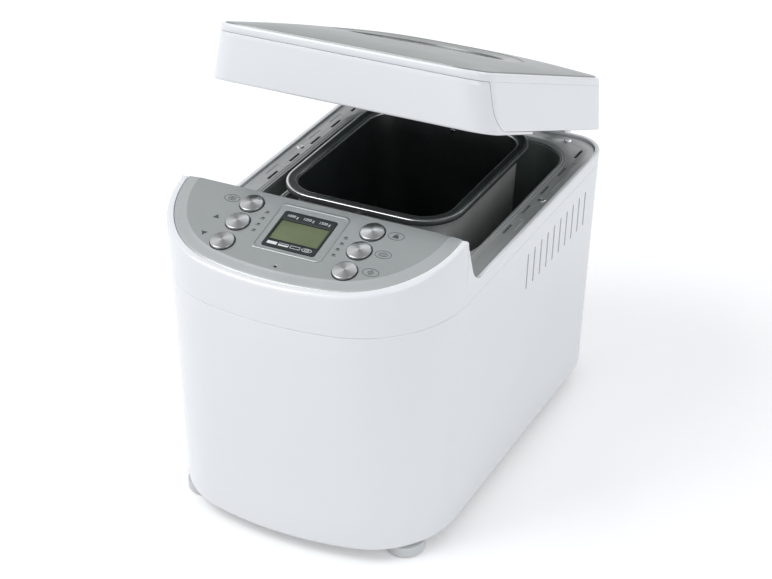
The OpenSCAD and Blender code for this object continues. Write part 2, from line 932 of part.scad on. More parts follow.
// Mains board on standoffs beside the motor
module power_board() {
    color("darkgreen")
        translate([board_lo[0], board_lo[1], base_top]) {
            translate([0, 0, standoff_h]) cube([board_size[0], board_size[1], board_t]);
            for (x = [standoff_in, board_size[0] - standoff_in])
                for (y = [standoff_in, board_size[1] - standoff_in])
                    translate([x, y, 0]) cylinder(h = standoff_h, r = 2.5);
            translate([coil_at[0], coil_at[1], standoff_h]) cube(coil_size);
            translate([capacitor_at[0], capacitor_at[1], standoff_h])
                cylinder(h = capacitor_h, r = capacitor_r);
        }
}

// Cable gland in the rear wall: the machine's mains inlet, with its bore left open
module cable_gland() {
    color([0.85, 0.86, 0.87])
        on_rear(gland_x, gland_z) difference() {
            union() {
                cylinder(h = gland_flange, r = gland_r + 3);
                translate([0, 0, -wall - 3]) cylinder(h = wall + 4, r = gland_r);
            }
            translate([0, 0, -wall - 4]) cylinder(h = 2 * wall + 9, r = gland_r - 1.8);
        }
}

// ---------- hinge ----------

hinge_edge = 51.5;
hinge_x = body_w / 2 - hinge_edge;
arm_w = 8;
ear_w = 6;
pin_r = hinge_pin_dia / 2;
web_low = strip_h - 9;

// Cylinder along the hinge axis, centred on x
module on_hinge(x, length, r) {
    translate([x - length / 2, hinge_y, hinge_z]) rotate([0, 90, 0]) cylinder(h = length, r = r);
}

// Two pairs of ears on the back of the upper shell
module hinge_brackets() {
    color("white")
        difference() {
            for (sx = [-1, 1])
                for (side = [-1, 1]) {
                    x = sx * hinge_x + side * (arm_w / 2 + seat_fit + ear_w / 2);
                    on_hinge(x, ear_w, knuckle_r);
                    span([x - ear_w / 2, y_rear - 6, web_low], [x + ear_w / 2, hinge_y, hinge_z]);
                }
            loft([
                [web_low - 9, shell_ring(web_low - 9, 0)],
                [strip_h, shell_ring(strip_h, 0)]
            ]);
            span([-body_w, y_rear - 9, strip_h - eps], [body_w, y_rear - 1, hinge_z + 1]);
            for (sx = [-1, 1]) on_hinge(sx * hinge_x, 3 * ear_w + arm_w, pin_r);
        }
}

module hinge_pins() {
    color("silver")
        for (sx = [-1, 1]) on_hinge(sx * hinge_x, arm_w + 2 * (ear_w + seat_fit), pin_r);
}

// ---------- lid ----------

// Lid outline at height z with the lid closed, moved in by inset
function lid_ring(z, inset, n = 6) =
    let (k = (z - lid_low) / (lid_top - lid_low))
    both_sides(half_outline(
        lid_half_w - lid_side_draft * k - inset,
        lid_front + (lid_top - z) * tan(lid_rake) + inset,
        lid_rear - inset,
        20000, max(lid_corner_r - inset, 3), max(rear_corner_r - 4 - inset, 4), n
    ));

// Line of the lid's raked front in the side view, t in from its outer face
function lid_face_y(z, t) = lid_front + (lid_top - z) * tan(lid_rake) + t / cos(lid_rake);

// Where the sides' lower edge steps up behind the front, and how far
skirt_step_y = lid_front + 100;
skirt_step = 2.5;

ledge_t = 3;
ledge_w = 9;
ledge_low = lid_top - ledge_t;
// The front panel laps over its opening from behind, between the lid's two front corners
panel_margin = 7;
panel_lap = 3;
panel_edge_x = lid_half_w - lid_side_draft - lid_corner_r - panel_lap - 2;
liner_post_r = 4;
liner_edge = 17.5;
liner_at = [
    for (sx = [-1, 1]) for (y = [lid_front + 42, lid_rear - 40]) [sx * (lid_half_w - liner_edge), y]
];

// Tapered ring of the lid, open below, with a ledge for the cap and posts for the liner
module lid_frame() {
    color("white")
        lid_at_rest() difference() {
            union() {
                difference() {
                    loft([[lid_low, lid_ring(lid_low, 0)], [lid_top, lid_ring(lid_top, 0)]]);
                    loft([
                        [lid_low - 1, lid_ring(lid_low - 1, lid_wall)],
                        [ledge_low, lid_ring(ledge_low, lid_wall)]
                    ]);
                    loft([
                        [ledge_low - 1, lid_ring(ledge_low, lid_wall + ledge_w)],
                        [lid_top + 1, lid_ring(lid_top, lid_wall + ledge_w)]
                    ]);
                    loft([
                        [lid_top - 1, lid_ring(lid_top, lid_wall)],
                        [lid_top + 1, lid_ring(lid_top, lid_wall)]
                    ]);
                }
                for (p = liner_at)
                    translate([p[0], p[1], liner_z + liner_t])
                        cylinder(h = ledge_low - liner_z - liner_t, r = liner_post_r);
            }
            span([-body_w, skirt_step_y, lid_low - 1], [body_w, lid_rear + 1, lid_low + skirt_step]);
            span([-panel_edge_x, lid_front - 9, lid_low + panel_margin],
                 [panel_edge_x, lid_front + 30, lid_top - panel_margin]);
            for (p = liner_at)
                translate([p[0], p[1], liner_z - 1]) cylinder(h = 9, r = screw_r);
        }
}

// Plain front panel, set back behind the opening in the front of the lid
module lid_front_panel() {
    low = lid_low + panel_margin - panel_lap;
    high = ledge_low - seat_fit;
    near = lid_wall + seat_fit;
    far = near + 2;
    color("white")
        lid_at_rest() across([
            [lid_face_y(low, near), low], [lid_face_y(low, far), low],
            [lid_face_y(high, far), high], [lid_face_y(high, near), high]
        ], panel_edge_x + panel_lap);
}

cap_t = 1.2;

// Rings of the crowned cap: [height above the lid's sides, inset], scaled by the crown
function cap_rings(down) = [
    for (p = [[0, 0], [0.25, 0.6], [0.45, 6], [0.7, 22], [0.88, 44], [1, 76]])
        [lid_top - 1 + p[0] * (lid_crown + 1) - down, lid_ring(lid_top, lid_wall + seat_fit + p[1])]
];

// Upright oval prism in the lid
module window_plug(rx, ry, low, high) {
    translate([0, 0, low]) linear_extrude(high - low) polygon(oval(rx, ry, [0, window_y], 48));
}

// Crowned sheet cap with an oval opening
module lid_cap() {
    color([0.62, 0.65, 0.65])
        lid_at_rest() difference() {
            loft(cap_rings(0));
            loft(cap_rings(cap_t));
            window_plug(window_rx - 8, window_ry - 8, lid_top - 3, lid_top + lid_crown + 2);
        }
}

glass_z = lid_top + lid_crown - 7;
glass_t = 3;

// Oval dish that leads down from the cap to the glass
module window_trim() {
    top = lid_top + lid_crown + 1;
    color("silver")
        lid_at_rest() difference() {
            loft([
                [glass_z - glass_t - 1.5, oval(glass_rx + 4, glass_ry + 4, [0, window_y], 48)],
                [lid_top + lid_crown - cap_t - 3, oval(window_rx - 9, window_ry - 9, [0, window_y], 48)],
                [top, oval(window_rx - 8.6, window_ry - 8.6, [0, window_y], 48)]
            ]);
            loft([
                [glass_z - seat_fit, oval(glass_rx, glass_ry, [0, window_y], 48)],
                [top + eps, oval(window_rx - 10, window_ry - 10, [0, window_y], 48)]
            ]);
            window_plug(glass_rx + 1.5, glass_ry + 1.5, glass_z - glass_t, glass_z);
            window_plug(glass_rx - 3, glass_ry - 3, lid_low, glass_z);
        }
}

module window_glass() {
    color([0.75, 0.82, 0.84])
        lid_at_rest() window_plug(glass_rx + 1.2, glass_ry + 1.2, glass_z - glass_t, glass_z);
}

// Steel liner plate under the window, with its own oval opening
module lid_liner() {
    inset = lid_wall + 4;
    color("silver")
        lid_at_rest() difference() {
            loft([
                [liner_z, lid_ring(liner_z, inset)],
                [liner_z + liner_t, lid_ring(liner_z + liner_t, inset)]
            ]);
            window_plug(glass_rx - 2, glass_ry - 2, liner_z - 1, liner_z + 2);
            for (p = liner_at)
                translate([p[0], p[1], liner_z - 1]) cylinder(h = 9, r = screw_r + 0.1);
        }
}

module liner_screws() {
    color("silver")
        lid_at_rest() for (p = liner_at)
            translate([p[0], p[1], liner_z]) {
                translate([0, 0, -1.4]) cylinder(h = 1.4, r = 3.2);
                cylinder(h = 6, r = screw_r);
            }
}

// Two arms from the back of the lid to the hinge pins
module lid_arms() {
    color("white")
        lid_at_rest() difference() {
            for (sx = [-1, 1]) {
                on_hinge(sx * hinge_x, arm_w, knuckle_r - 0.4);
                span([sx * hinge_x - arm_w / 2, lid_rear - 8, hinge_z - 2],
                     [sx * hinge_x + arm_w / 2, hinge_y, hinge_z + knuckle_r - 1]);
            }
            loft([[lid_low - 1, lid_ring(lid_low - 1, 0)], [lid_top, lid_ring(lid_top, 0)]]);
            for (sx = [-1, 1]) on_hinge(sx * hinge_x, 2 * arm_w, pin_r + running_fit);
        }
}

// ---------- pan ----------

pan_floor_t = 2;
inner_w = pan_w - 2 * pan_rim;
inner_d = pan_d - 2 * pan_rim;
rim_drop = 5;
pan_inner_r = pan_r - pan_rim;

// Plan of the pan's inside at height z, grown outwards
function pan_ring(z, grow) =
    let (k = pan_draft * (pan_rim_z - z) / pan_h)
    rounded(
        inner_w - 2 * k + 2 * grow, inner_d - 2 * k + 2 * grow,
        pan_inner_r + grow, [0, pan_yc], 6
    );

// Tapered pan with a wide rim whose edge is turned down
module pan() {
    color([0.68, 0.68, 0.67])
        difference() {
            union() {
                loft([[pan_low, pan_ring(pan_low, pan_wall)], [pan_rim_z, pan_ring(pan_rim_z, pan_wall)]]);
                translate([0, 0, pan_rim_z - pan_wall])
                    linear_extrude(pan_wall) polygon(rounded(pan_w, pan_d, pan_r, [0, pan_yc], 6));
                translate([0, 0, pan_rim_z - rim_drop]) linear_extrude(rim_drop)
                    difference() {
                        polygon(rounded(pan_w, pan_d, pan_r, [0, pan_yc], 6));
                        polygon(rounded(
                            pan_w - 2 * pan_wall, pan_d - 2 * pan_wall, pan_r - pan_wall, [0, pan_yc], 6
                        ));
                    }
            }
            loft([
                [pan_low + pan_floor_t, pan_ring(pan_low + pan_floor_t, 0)],
                [pan_rim_z + 1, pan_ring(pan_rim_z + 1, 0)]
            ]);
            translate([0, pan_yc, pan_low - 1]) cylinder(h = pan_floor_t + 2, r = bush_r);
            for (sy = [-1, 1]) on_pivot(sy, inner_d / 2 - pan_draft, pan_rim + pan_draft, pivot_r);
        }
}

bush_r = 9;
bush_flange = 13;
pivot_r = 2.5;
pivot_z = pan_rim_z - 10;

// Cylinder along Y at a bail pivot, from a distance out from the pan's middle
module on_pivot(sy, from, length, r) {
    translate([0, pan_yc + sy * from, pivot_z]) rotate([-90 * sy, 0, 0]) cylinder(h = length, r = r);
}

// Foot ring on which the pan stands
module pan_base_ring() {
    z0 = chamber_floor + seat_fit;
    color("gray")
        translate([0, pan_yc, z0]) difference() {
            union() {
                cylinder(h = pan_low - z0, r = ring_r);
                translate([0, 0, pan_low - z0 - 1.5]) cylinder(h = 1.5, r = ring_r + 5);
            }
            translate([0, 0, -1]) cylinder(h = pan_low - z0 + 2, r = ring_r - ring_wall);
        }
}

// Sealed bush in the floor of the pan
module pan_bearing() {
    color("dimgray")
        translate([0, pan_yc, 0]) difference() {
            union() {
                translate([0, 0, pan_low - 8]) cylinder(h = 8 + pan_floor_t + 2, r = bush_r);
                translate([0, 0, pan_low - 3]) cylinder(h = 3, r = bush_flange);
            }
            translate([0, 0, pan_low - 9]) cylinder(h = 20, r = shaft_r + running_fit);
        }
}

dog_bar_low = dog_low + 3 + 1.5;
dog_bar_h = 4;
dog_bar_len = 2 * dog_r - 2;
shaft_reach = 30;
shaft_top = pan_low + shaft_reach;

// Shaft through the pan's bush: dog bar below, drive end above
module pan_shaft() {
    color("silver")
        translate([0, pan_yc, 0]) {
            translate([0, 0, dog_bar_low]) cylinder(h = shaft_top - dog_bar_low, r = shaft_r);
            translate([0, 0, dog_bar_low + dog_bar_h / 2]) cube([6, dog_bar_len, dog_bar_h], center = true);
        }
}

paddle_low = pan_low + pan_floor_t + 2.5;
paddle_h = 22;
hub_r = 8;

// Kneading paddle: a hub that slides onto the shaft, with one swept blade
module kneading_paddle() {
    color([0.2, 0.2, 0.21])
        translate([0, pan_yc, paddle_low]) difference() {
            union() {
                cylinder(h = paddle_h - 6, r = hub_r);
                translate([0, 0, paddle_h - 6]) cylinder(h = 6, r1 = hub_r, r2 = hub_r - 2);
                translate([0, 2, 0]) rotate([90, 0, 0]) linear_extrude(4)
                    polygon([[0, 0], [44, 0], [46, 4], [40, 16], [20, paddle_h], [0, paddle_h - 2]]);
            }
            translate([0, 0, -1]) cylinder(h = paddle_h + 2, r = shaft_r + running_fit);
        }
}

// Studs at the front and back of the pan that carry the bail
module handle_pivots() {
    color("silver")
        for (sy = [-1, 1]) {
            on_pivot(sy, inner_d / 2 - 1, bail_y - inner_d / 2 + 5, pivot_r);
            on_pivot(sy, bail_y + eye_w / 2 + seat_fit, 1.4, pivot_r + 2);
        }
}

bail_gap = 11;
bail_r = pan_w / 2 + bail_gap;
wire_r = 2;
bail_y = pan_d / 2 + 3.5;
bail_turn = 24;
bail_dip = 11;
eye_w = 5;
eye_r = 5.5;

// The bail's own frame: its plane through both pivots, folded down to the left
module on_bail() {
    translate([0, pan_yc, pivot_z]) rotate([0, -bail_dip, 0]) children();
}

// U-shaped wire bail with an eye round each pivot stud
module handle_bail() {
    reach = bail_r - bail_turn;
    color("silver")
        on_bail() {
            for (sy = [-1, 1]) {
                difference() {
                    union() {
                        translate([0, sy * bail_y, 0]) rotate([0, -90, 0]) cylinder(h = reach, r = wire_r);
                        translate([0, sy * bail_y + eye_w / 2, 0])
                            rotate([90, 0, 0]) cylinder(h = eye_w, r = eye_r);
                    }
                    translate([0, sy * bail_y + 5, 0])
                        rotate([90, 0, 0]) cylinder(h = 10, r = pivot_r + running_fit);
                }
                translate([-reach, sy * (bail_y - bail_turn), 0])
                    rotate([0, 0, sy > 0 ? 90 : 180])
                        rotate_extrude(angle = 90) translate([bail_turn, 0]) circle(wire_r);
            }
            translate([-bail_r, bail_y - bail_turn, 0])
                rotate([90, 0, 0]) cylinder(h = 2 * (bail_y - bail_turn), r = wire_r);
        }
}

grip_len = 70;
grip_r = 5;

// Heat-proof sleeve on the middle of the bail
module handle_grip() {
    color([0.15, 0.15, 0.16])
        on_bail() translate([-bail_r, grip_len / 2, 0]) rotate([90, 0, 0])
            difference() {
                cylinder(h = grip_len, r = grip_r);
                translate([0, 0, -1]) cylinder(h = grip_len + 2, r = wire_r);
            }
}

main_housing();
base_plate();
feet();
foot_screws();
top_housing();
control_fascia();
display_frame();
display_window();
display_module();
control_board();
fascia_screws();
select_button();
raise_button();
lower_button();
weight_button();
crust_button();
start_button();
chamber_frame();
frame_screws();
baking_chamber();
heater_element();
heater_clips();
temperature_sensor();
pan_springs();
drive_bearing();
drive_shaft();
drive_dog();
large_pulley();
drive_belt();
motor();
motor_bracket();
motor_shaft();
motor_pulley();
power_board();
cable_gland();
hinge_brackets();
hinge_pins();
lid_frame();
lid_front_panel();
lid_cap();
window_trim();
window_glass();
lid_liner();
liner_screws();
lid_arms();
pan();
pan_base_ring();
pan_bearing();
handle_pivots();
pan_shaft();
kneading_paddle();
handle_bail();
handle_grip();
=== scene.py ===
"""Looks of a countertop bread machine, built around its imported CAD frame.

Each sub-assembly is a class that holds its sizes in millimetres, builds its meshes in the
frame's own coordinates and dresses them. The frame, the camera and the lamps are in metres.
Pieces that replace a CAD node keep that node's place and body, and every other node gets a
procedural finish.
"""

import logging
import math
from contextlib import contextmanager
from dataclasses import dataclass, field, replace
from enum import Enum
from typing import Callable, Iterable, Iterator, Sequence

import bmesh
import bpy
import numpy as np
from mathutils import Matrix, Vector


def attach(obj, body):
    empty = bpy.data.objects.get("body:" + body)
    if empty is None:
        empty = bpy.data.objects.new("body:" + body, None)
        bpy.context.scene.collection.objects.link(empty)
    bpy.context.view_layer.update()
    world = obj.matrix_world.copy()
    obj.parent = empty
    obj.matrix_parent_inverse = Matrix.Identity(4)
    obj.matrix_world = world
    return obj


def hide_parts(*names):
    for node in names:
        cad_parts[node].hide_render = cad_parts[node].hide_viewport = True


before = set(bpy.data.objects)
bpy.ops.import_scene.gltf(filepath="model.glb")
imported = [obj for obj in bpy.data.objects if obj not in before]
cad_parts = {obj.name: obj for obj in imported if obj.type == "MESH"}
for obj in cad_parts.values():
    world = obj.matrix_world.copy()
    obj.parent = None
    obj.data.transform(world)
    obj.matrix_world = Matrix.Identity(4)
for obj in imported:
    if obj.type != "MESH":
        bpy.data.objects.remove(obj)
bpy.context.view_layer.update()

MM = 0.001
SOFT_ANGLE = 35.0
SHADE_ANGLE = 32.0
MIRROR_X = np.array([-1.0, 1.0, 1.0])
log = logging.getLogger("bread_machine")

Points = np.ndarray
Colour = tuple[float, float, float]
Place = tuple[float, float, float]
TopLine = Callable[[float, float], Place]


# ---------------------------------------------------------------------------
# Finishes
# ---------------------------------------------------------------------------


class Grain(Enum):
    """How a finish's fine relief runs over the surface."""

    EVEN = "even"
    BRUSHED_X = "brushed_x"
    BRUSHED_Y = "brushed_y"
    BRUSHED_Z = "brushed_z"
    CELLS = "cells"


GRAIN_STRETCH: dict[Grain, tuple[float, float, float]] = {
    Grain.EVEN: (1.0, 1.0, 1.0),
    Grain.BRUSHED_X: (0.02, 1.0, 1.0),
    Grain.BRUSHED_Y: (1.0, 0.02, 1.0),
    Grain.BRUSHED_Z: (1.0, 1.0, 0.02),
    Grain.CELLS: (1.0, 1.0, 1.0),
}


class Tree:
    """A small wrapper that adds nodes to a material's or a world's tree and links them."""

    def __init__(self, owner: bpy.types.ID, output: str = "ShaderNodeOutputMaterial") -> None:
        """Start an empty tree.

        Args:
            owner: The material or world that holds the tree.
            output: Type name of its output node.
        """
        owner.use_nodes = True
        self.nodes = owner.node_tree.nodes
        self.links = owner.node_tree.links
        self.nodes.clear()
        self.output = self.nodes.new(output)

    def add(self, kind: str, values: dict | None = None, **settings: object) -> bpy.types.Node:
        """Add one node.

        Args:
            kind: The node's type name.
            values: Socket values by name or index.
            **settings: Attributes of the node.

        Returns:
            The new node.
        """
        node = self.nodes.new(kind)
        for key, value in settings.items():
            setattr(node, key, value)
        for key, value in (values or {}).items():
            node.inputs[key].default_value = value
        return node

    def link(self, source: bpy.types.NodeSocket, target: bpy.types.NodeSocket) -> None:
        """Link an output socket to an input socket."""
        self.links.new(source, target)

    def show(self, socket: bpy.types.NodeSocket) -> None:
        """Link a shader to the tree's surface."""
        self.link(socket, self.output.inputs["Surface"])

    def math(
        self, operation: str, first: bpy.types.NodeSocket, second: object = None
    ) -> bpy.types.NodeSocket:
        """Work on a value with a number, with another value or alone.

        Args:
            operation: The math node's operation.
            first: Socket of the value.
            second: A number or a socket.

        Returns:
            The socket of the result.
        """
        node = self.add("ShaderNodeMath", operation=operation)
        self.link(first, node.inputs[0])
        if isinstance(second, bpy.types.NodeSocket):
            self.link(second, node.inputs[1])
        elif second is not None:
            node.inputs[1].default_value = second
        return node.outputs["Value"]

    def seen_rays(self) -> bpy.types.NodeSocket:
        """One for camera, glossy and transmission rays, and nought for the rest."""
        path = self.add("ShaderNodeLightPath")
        glossy = self.math("MAXIMUM", path.outputs["Is Camera Ray"], path.outputs["Is Glossy Ray"])
        return self.math("MAXIMUM", glossy, path.outputs["Is Transmission Ray"])

    def object_space(
        self, scale: Place = (1.0, 1.0, 1.0)
    ) -> bpy.types.NodeSocket:
        """Object coordinates, stretched by scale.

        Args:
            scale: Factor along each axis.

        Returns:
            The socket that carries the coordinates.
        """
        coords = self.add("ShaderNodeTexCoord")
        mapping = self.add("ShaderNodeMapping", {"Scale": scale})
        self.link(coords.outputs["Object"], mapping.inputs["Vector"])
        return mapping.outputs["Vector"]

    def noise(
        self, space: bpy.types.NodeSocket, scale: float, detail: float = 3.0, rough: float = 0.55
    ) -> bpy.types.NodeSocket:
        """Noise between 0 and 1 over a space.

        Args:
            space: Socket of the coordinates.
            scale: Waves per metre.
            detail: Octaves.
            rough: Weight of the finer octaves.

        Returns:
            The socket of the noise value.
        """
        node = self.add(
            "ShaderNodeTexNoise", {"Scale": scale, "Detail": detail, "Roughness": rough}
        )
        self.link(space, node.inputs["Vector"])
        return node.outputs["Fac"]

    def spread(
        self, value: bpy.types.NodeSocket, low: float, high: float, gain: float = 2.5
    ) -> bpy.types.NodeSocket:
        """Map a noise value around one half onto a range.

        Args:
            value: Socket of the noise.
            low: Value at the dark end.
            high: Value at the bright end.
            gain: How strongly the middle of the noise is stretched.

        Returns:
            The socket of the mapped value.
        """
        half = 0.5 / gain
        node = self.add(
            "ShaderNodeMapRange",
            {"From Min": 0.5 - half, "From Max": 0.5 + half, "To Min": low, "To Max": high},
        )
        self.link(value, node.inputs["Value"])
        return node.outputs["Result"]


def shade(colour: Colour, factor: float) -> tuple[float, float, float, float]:
    """A colour made lighter or darker, with full alpha."""
    return tuple(min(1.0, c * factor) for c in colour) + (1.0,)


@dataclass(frozen=True)
class Finish:
    """A surface finish: colour that drifts, roughness that varies and a fine relief."""

    name: str
    colour: Colour
    roughness: float
    metallic: float = 0.0
    coat: float = 0.0
    drift: float = 0.04
    drift_scale: float = 9.0
    rough_drift: float = 0.04
    grain: Grain = Grain.EVEN
    grain_scale: float = 900.0
    relief: float = 0.05
    relief_depth: float = 0.00006
    specular: float = 0.5
    fleck: float = 0.0

    def material(self) -> bpy.types.Material:
        """The finish as a material, built once."""
        own_name = f"{self.name}_finish"
        known = bpy.data.materials.get(own_name)
        if known:
            return known
        material = bpy.data.materials.new(own_name)
        tree = Tree(material)
        shader = tree.add(
            "ShaderNodeBsdfPrincipled",
            {
                "Metallic": self.metallic,
                "Coat Weight": self.coat,
                "Coat Roughness": 0.06,
                "Specular IOR Level": self.specular,
            },
        )
        space = tree.object_space()
        drift = tree.noise(space, self.drift_scale, 2.0)
        blend = tree.add("ShaderNodeMix", data_type="RGBA")
        blend.inputs["A"].default_value = shade(self.colour, 1.0 - self.drift)
        blend.inputs["B"].default_value = shade(self.colour, 1.0 + self.drift)
        tree.link(tree.spread(drift, 0.0, 1.0), blend.inputs["Factor"])
        colour = blend.outputs["Result"]
        grain_space = tree.object_space(GRAIN_STRETCH[self.grain])
        if self.grain is Grain.CELLS:
            cells = tree.add("ShaderNodeTexVoronoi", {"Scale": self.grain_scale})
            tree.link(grain_space, cells.inputs["Vector"])
            height = cells.outputs["Distance"]
        else:
            height = tree.noise(grain_space, self.grain_scale, 4.0, 0.65)
        if self.fleck > 0.0:
            fleck = tree.add("ShaderNodeMix", data_type="RGBA", blend_type="MULTIPLY")
            fleck.inputs["B"].default_value = (1.0 - self.fleck,) * 3 + (1.0,)
            tree.link(tree.spread(height, 0.0, 1.0, 3.0), fleck.inputs["Factor"])
            tree.link(colour, fleck.inputs["A"])
            colour = fleck.outputs["Result"]
        tree.link(colour, shader.inputs["Base Color"])
        smudge = tree.noise(space, self.drift_scale * 4.0, 3.0)
        low = max(0.02, self.roughness - self.rough_drift)
        tree.link(
            tree.spread(smudge, low, self.roughness + self.rough_drift), shader.inputs["Roughness"]
        )
        bump = tree.add("ShaderNodeBump", {"Strength": self.relief, "Distance": self.relief_depth})
        tree.link(height, bump.inputs["Height"])
        tree.link(bump.outputs["Normal"], shader.inputs["Normal"])
        tree.show(shader.outputs["BSDF"])
        self.tune(tree, shader)
        return material

    def tune(self, tree: Tree, shader: bpy.types.Node) -> None:
        """Hook for finishes that add to the common shader."""


@dataclass(frozen=True)
class Glass(Finish):
    """Clear glass that lets most light through without bending it."""

    veil: float = 0.25

    def tune(self, tree: Tree, shader: bpy.types.Node) -> None:
        """Mix the shader with clear transparency."""
        clear = tree.add("ShaderNodeBsdfTransparent")
        clear.inputs["Color"].default_value = (0.93, 0.96, 0.96, 1.0)
        mix = tree.add("ShaderNodeMixShader", {0: self.veil})
        tree.link(clear.outputs["BSDF"], mix.inputs[1])
        tree.link(shader.outputs["BSDF"], mix.inputs[2])
        tree.show(mix.outputs["Shader"])


@dataclass(frozen=True)
class Lifted(Finish):
    """A pale finish that reads as white to the camera and to reflections, shadows kept."""

    lift: float = 0.24

    def tune(self, tree: Tree, shader: bpy.types.Node) -> None:
        """Add a faint glow that lights nothing."""
        glow = tree.add("ShaderNodeEmission", {"Color": (1.0, 0.995, 0.985, 1.0)})
        tree.link(tree.math("MULTIPLY", tree.seen_rays(), self.lift), glow.inputs["Strength"])
        both = tree.add("ShaderNodeAddShader")
        tree.link(shader.outputs["BSDF"], both.inputs[0])
        tree.link(glow.outputs["Emission"], both.inputs[1])
        tree.show(both.outputs["Shader"])


@dataclass(frozen=True)
class SpunPaintedReflection(Finish):
    """Turned metal with painted reflection: light and dark wedges of painted reflection spread out
    from a centre, given in metres.
    """

    centre: Place = (0.0, 0.0, 0.0)
    wedges: float = 2.0
    dark: float = 0.42

    def tune(self, tree: Tree, shader: bpy.types.Node) -> None:
        """Paint reflection into the colour: darken it in wedges around the centre, square to the
        panel.
        """
        local = tree.add(
            "ShaderNodeMapping",
            {"Location": self.centre, "Rotation": (PANEL_TILT, 0.0, 0.0)},
            vector_type="TEXTURE",
        )
        tree.link(tree.object_space(), local.inputs["Vector"])
        turn = tree.add("ShaderNodeTexGradient", gradient_type="RADIAL")
        tree.link(local.outputs["Vector"], turn.inputs["Vector"])
        wave = tree.math("SINE", tree.math("MULTIPLY", turn.outputs["Fac"], math.tau * self.wedges))
        spread = tree.add("ShaderNodeMapRange", {"From Min": -1.0, "To Min": self.dark})
        tree.link(wave, spread.inputs["Value"])
        # Painted reflection: multiply the colour by the light and dark wedges.
        painted_reflection = tree.add("ShaderNodeMix", {"Factor": 1.0}, data_type="RGBA", blend_type="MULTIPLY")
        base = shader.inputs["Base Color"]
        tree.link(base.links[0].from_socket, painted_reflection.inputs["A"])
        tree.link(spread.outputs["Result"], painted_reflection.inputs["B"])
        tree.link(painted_reflection.outputs["Result"], base)


WHITE_GLOSS = Finish(
    "white_gloss_plastic", (0.80, 0.815, 0.835), 0.16, coat=0.35, drift=0.008, drift_scale=5.0,
    rough_drift=0.03, grain_scale=420.0, relief=0.02, relief_depth=0.0001,
)
PALE_MATT = Finish(
    "pale_matt_plastic", (0.70, 0.71, 0.72), 0.45, drift=0.02, grain=Grain.CELLS,
    grain_scale=2400.0, relief=0.15,
)
FOOT_PLASTIC = Finish(
    "foot_plastic", (0.62, 0.63, 0.64), 0.38, drift=0.03, grain_scale=1500.0, relief=0.12,
)
FASCIA_SILVER = Finish(
    "fascia_silver", (0.33, 0.35, 0.35), 0.34, metallic=0.6, coat=0.08, drift=0.03,
    grain_scale=2600.0, relief=0.10, fleck=0.06,
)
BAND_SILVER = Finish(
    "band_silver", (0.42, 0.44, 0.445), 0.30, metallic=0.6, coat=0.12, drift=0.02,
    grain_scale=2600.0, relief=0.08, fleck=0.04,
)
DISPLAY_BLACK = Finish(
    "display_black", (0.016, 0.022, 0.024), 0.34, specular=0.25, drift=0.1, grain_scale=1800.0,
    relief=0.03,
)
PRINT_PALE = Finish(
    "print_pale", (0.72, 0.74, 0.74), 0.5, drift=0.03, grain_scale=3000.0, relief=0.05,
)
PRINT_DARK = Finish(
    "print_dark", (0.045, 0.055, 0.058), 0.5, drift=0.08, grain_scale=3000.0, relief=0.05,
)
LCD_GREEN = Finish(
    "lcd_green", (0.150, 0.180, 0.100), 0.42, specular=0.2, drift=0.08, drift_scale=40.0,
    grain_scale=2600.0, relief=0.05, fleck=0.05,
)
# Button finish: turned metal with light and dark wedges of painted reflection round each button's
# centre.
BUTTON_METAL = SpunPaintedReflection(
    "button_metal", (0.52, 0.535, 0.54), 0.20, metallic=1.0, drift=0.02, drift_scale=60.0,
    rough_drift=0.03, grain_scale=700.0, relief=0.05,
)
FRAME_STEEL = Finish(
    "frame_steel", (0.42, 0.435, 0.435), 0.40, metallic=0.35, drift=0.05, drift_scale=14.0,
    grain=Grain.BRUSHED_Y, grain_scale=1400.0, relief=0.14, fleck=0.10,
)
CHAMBER_STEEL = Finish(
    "chamber_steel", (0.24, 0.29, 0.275), 0.36, metallic=0.40, drift=0.14, drift_scale=11.0,
    grain=Grain.BRUSHED_Z, grain_scale=700.0, relief=0.10, fleck=0.12,
)
SCREW_STEEL = Finish(
    "screw_steel", (0.58, 0.59, 0.59), 0.26, metallic=1.0, drift=0.06, drift_scale=60.0,
    grain_scale=2000.0, relief=0.15,
)
TURNED_STEEL = Finish(
    "turned_steel", (0.55, 0.555, 0.56), 0.24, metallic=1.0, drift=0.05, grain=Grain.BRUSHED_X,
    grain_scale=1600.0, relief=0.12,
)
HEATER_SHEATH = Finish(
    "heater_sheath", (0.12, 0.105, 0.09), 0.42, metallic=0.8, drift=0.25, drift_scale=30.0,
    grain_scale=1500.0, relief=0.2,
)
PAN_OUTSIDE = Finish(
    "pan_aluminium", (0.70, 0.705, 0.695), 0.33, metallic=0.50, drift=0.05, drift_scale=16.0,
    grain=Grain.BRUSHED_Z, grain_scale=1100.0, relief=0.16, fleck=0.10,
)
PAN_INSIDE = Finish(
    "non_stick", (0.022, 0.027, 0.027), 0.34, drift=0.2, drift_scale=40.0,
    grain=Grain.CELLS, grain_scale=2600.0, relief=0.25, specular=0.6,
)
RIM_BRIGHT = Finish(
    "rim_bright", (0.66, 0.67, 0.67), 0.16, metallic=1.0, drift=0.04, grain_scale=1200.0,
    relief=0.06,
)
DARK_METAL = Finish(
    "sintered_metal", (0.085, 0.087, 0.09), 0.5, metallic=0.6, drift=0.12, grain=Grain.CELLS,
    grain_scale=1800.0, relief=0.3,
)
BLACK_PLASTIC = Finish(
    "black_plastic", (0.025, 0.026, 0.028), 0.42, drift=0.1, grain=Grain.CELLS,
    grain_scale=2200.0, relief=0.2,
)
BELT_RUBBER = Finish(
    "belt_rubber", (0.018, 0.018, 0.018), 0.65, drift=0.15, grain_scale=1800.0, relief=0.4,
)
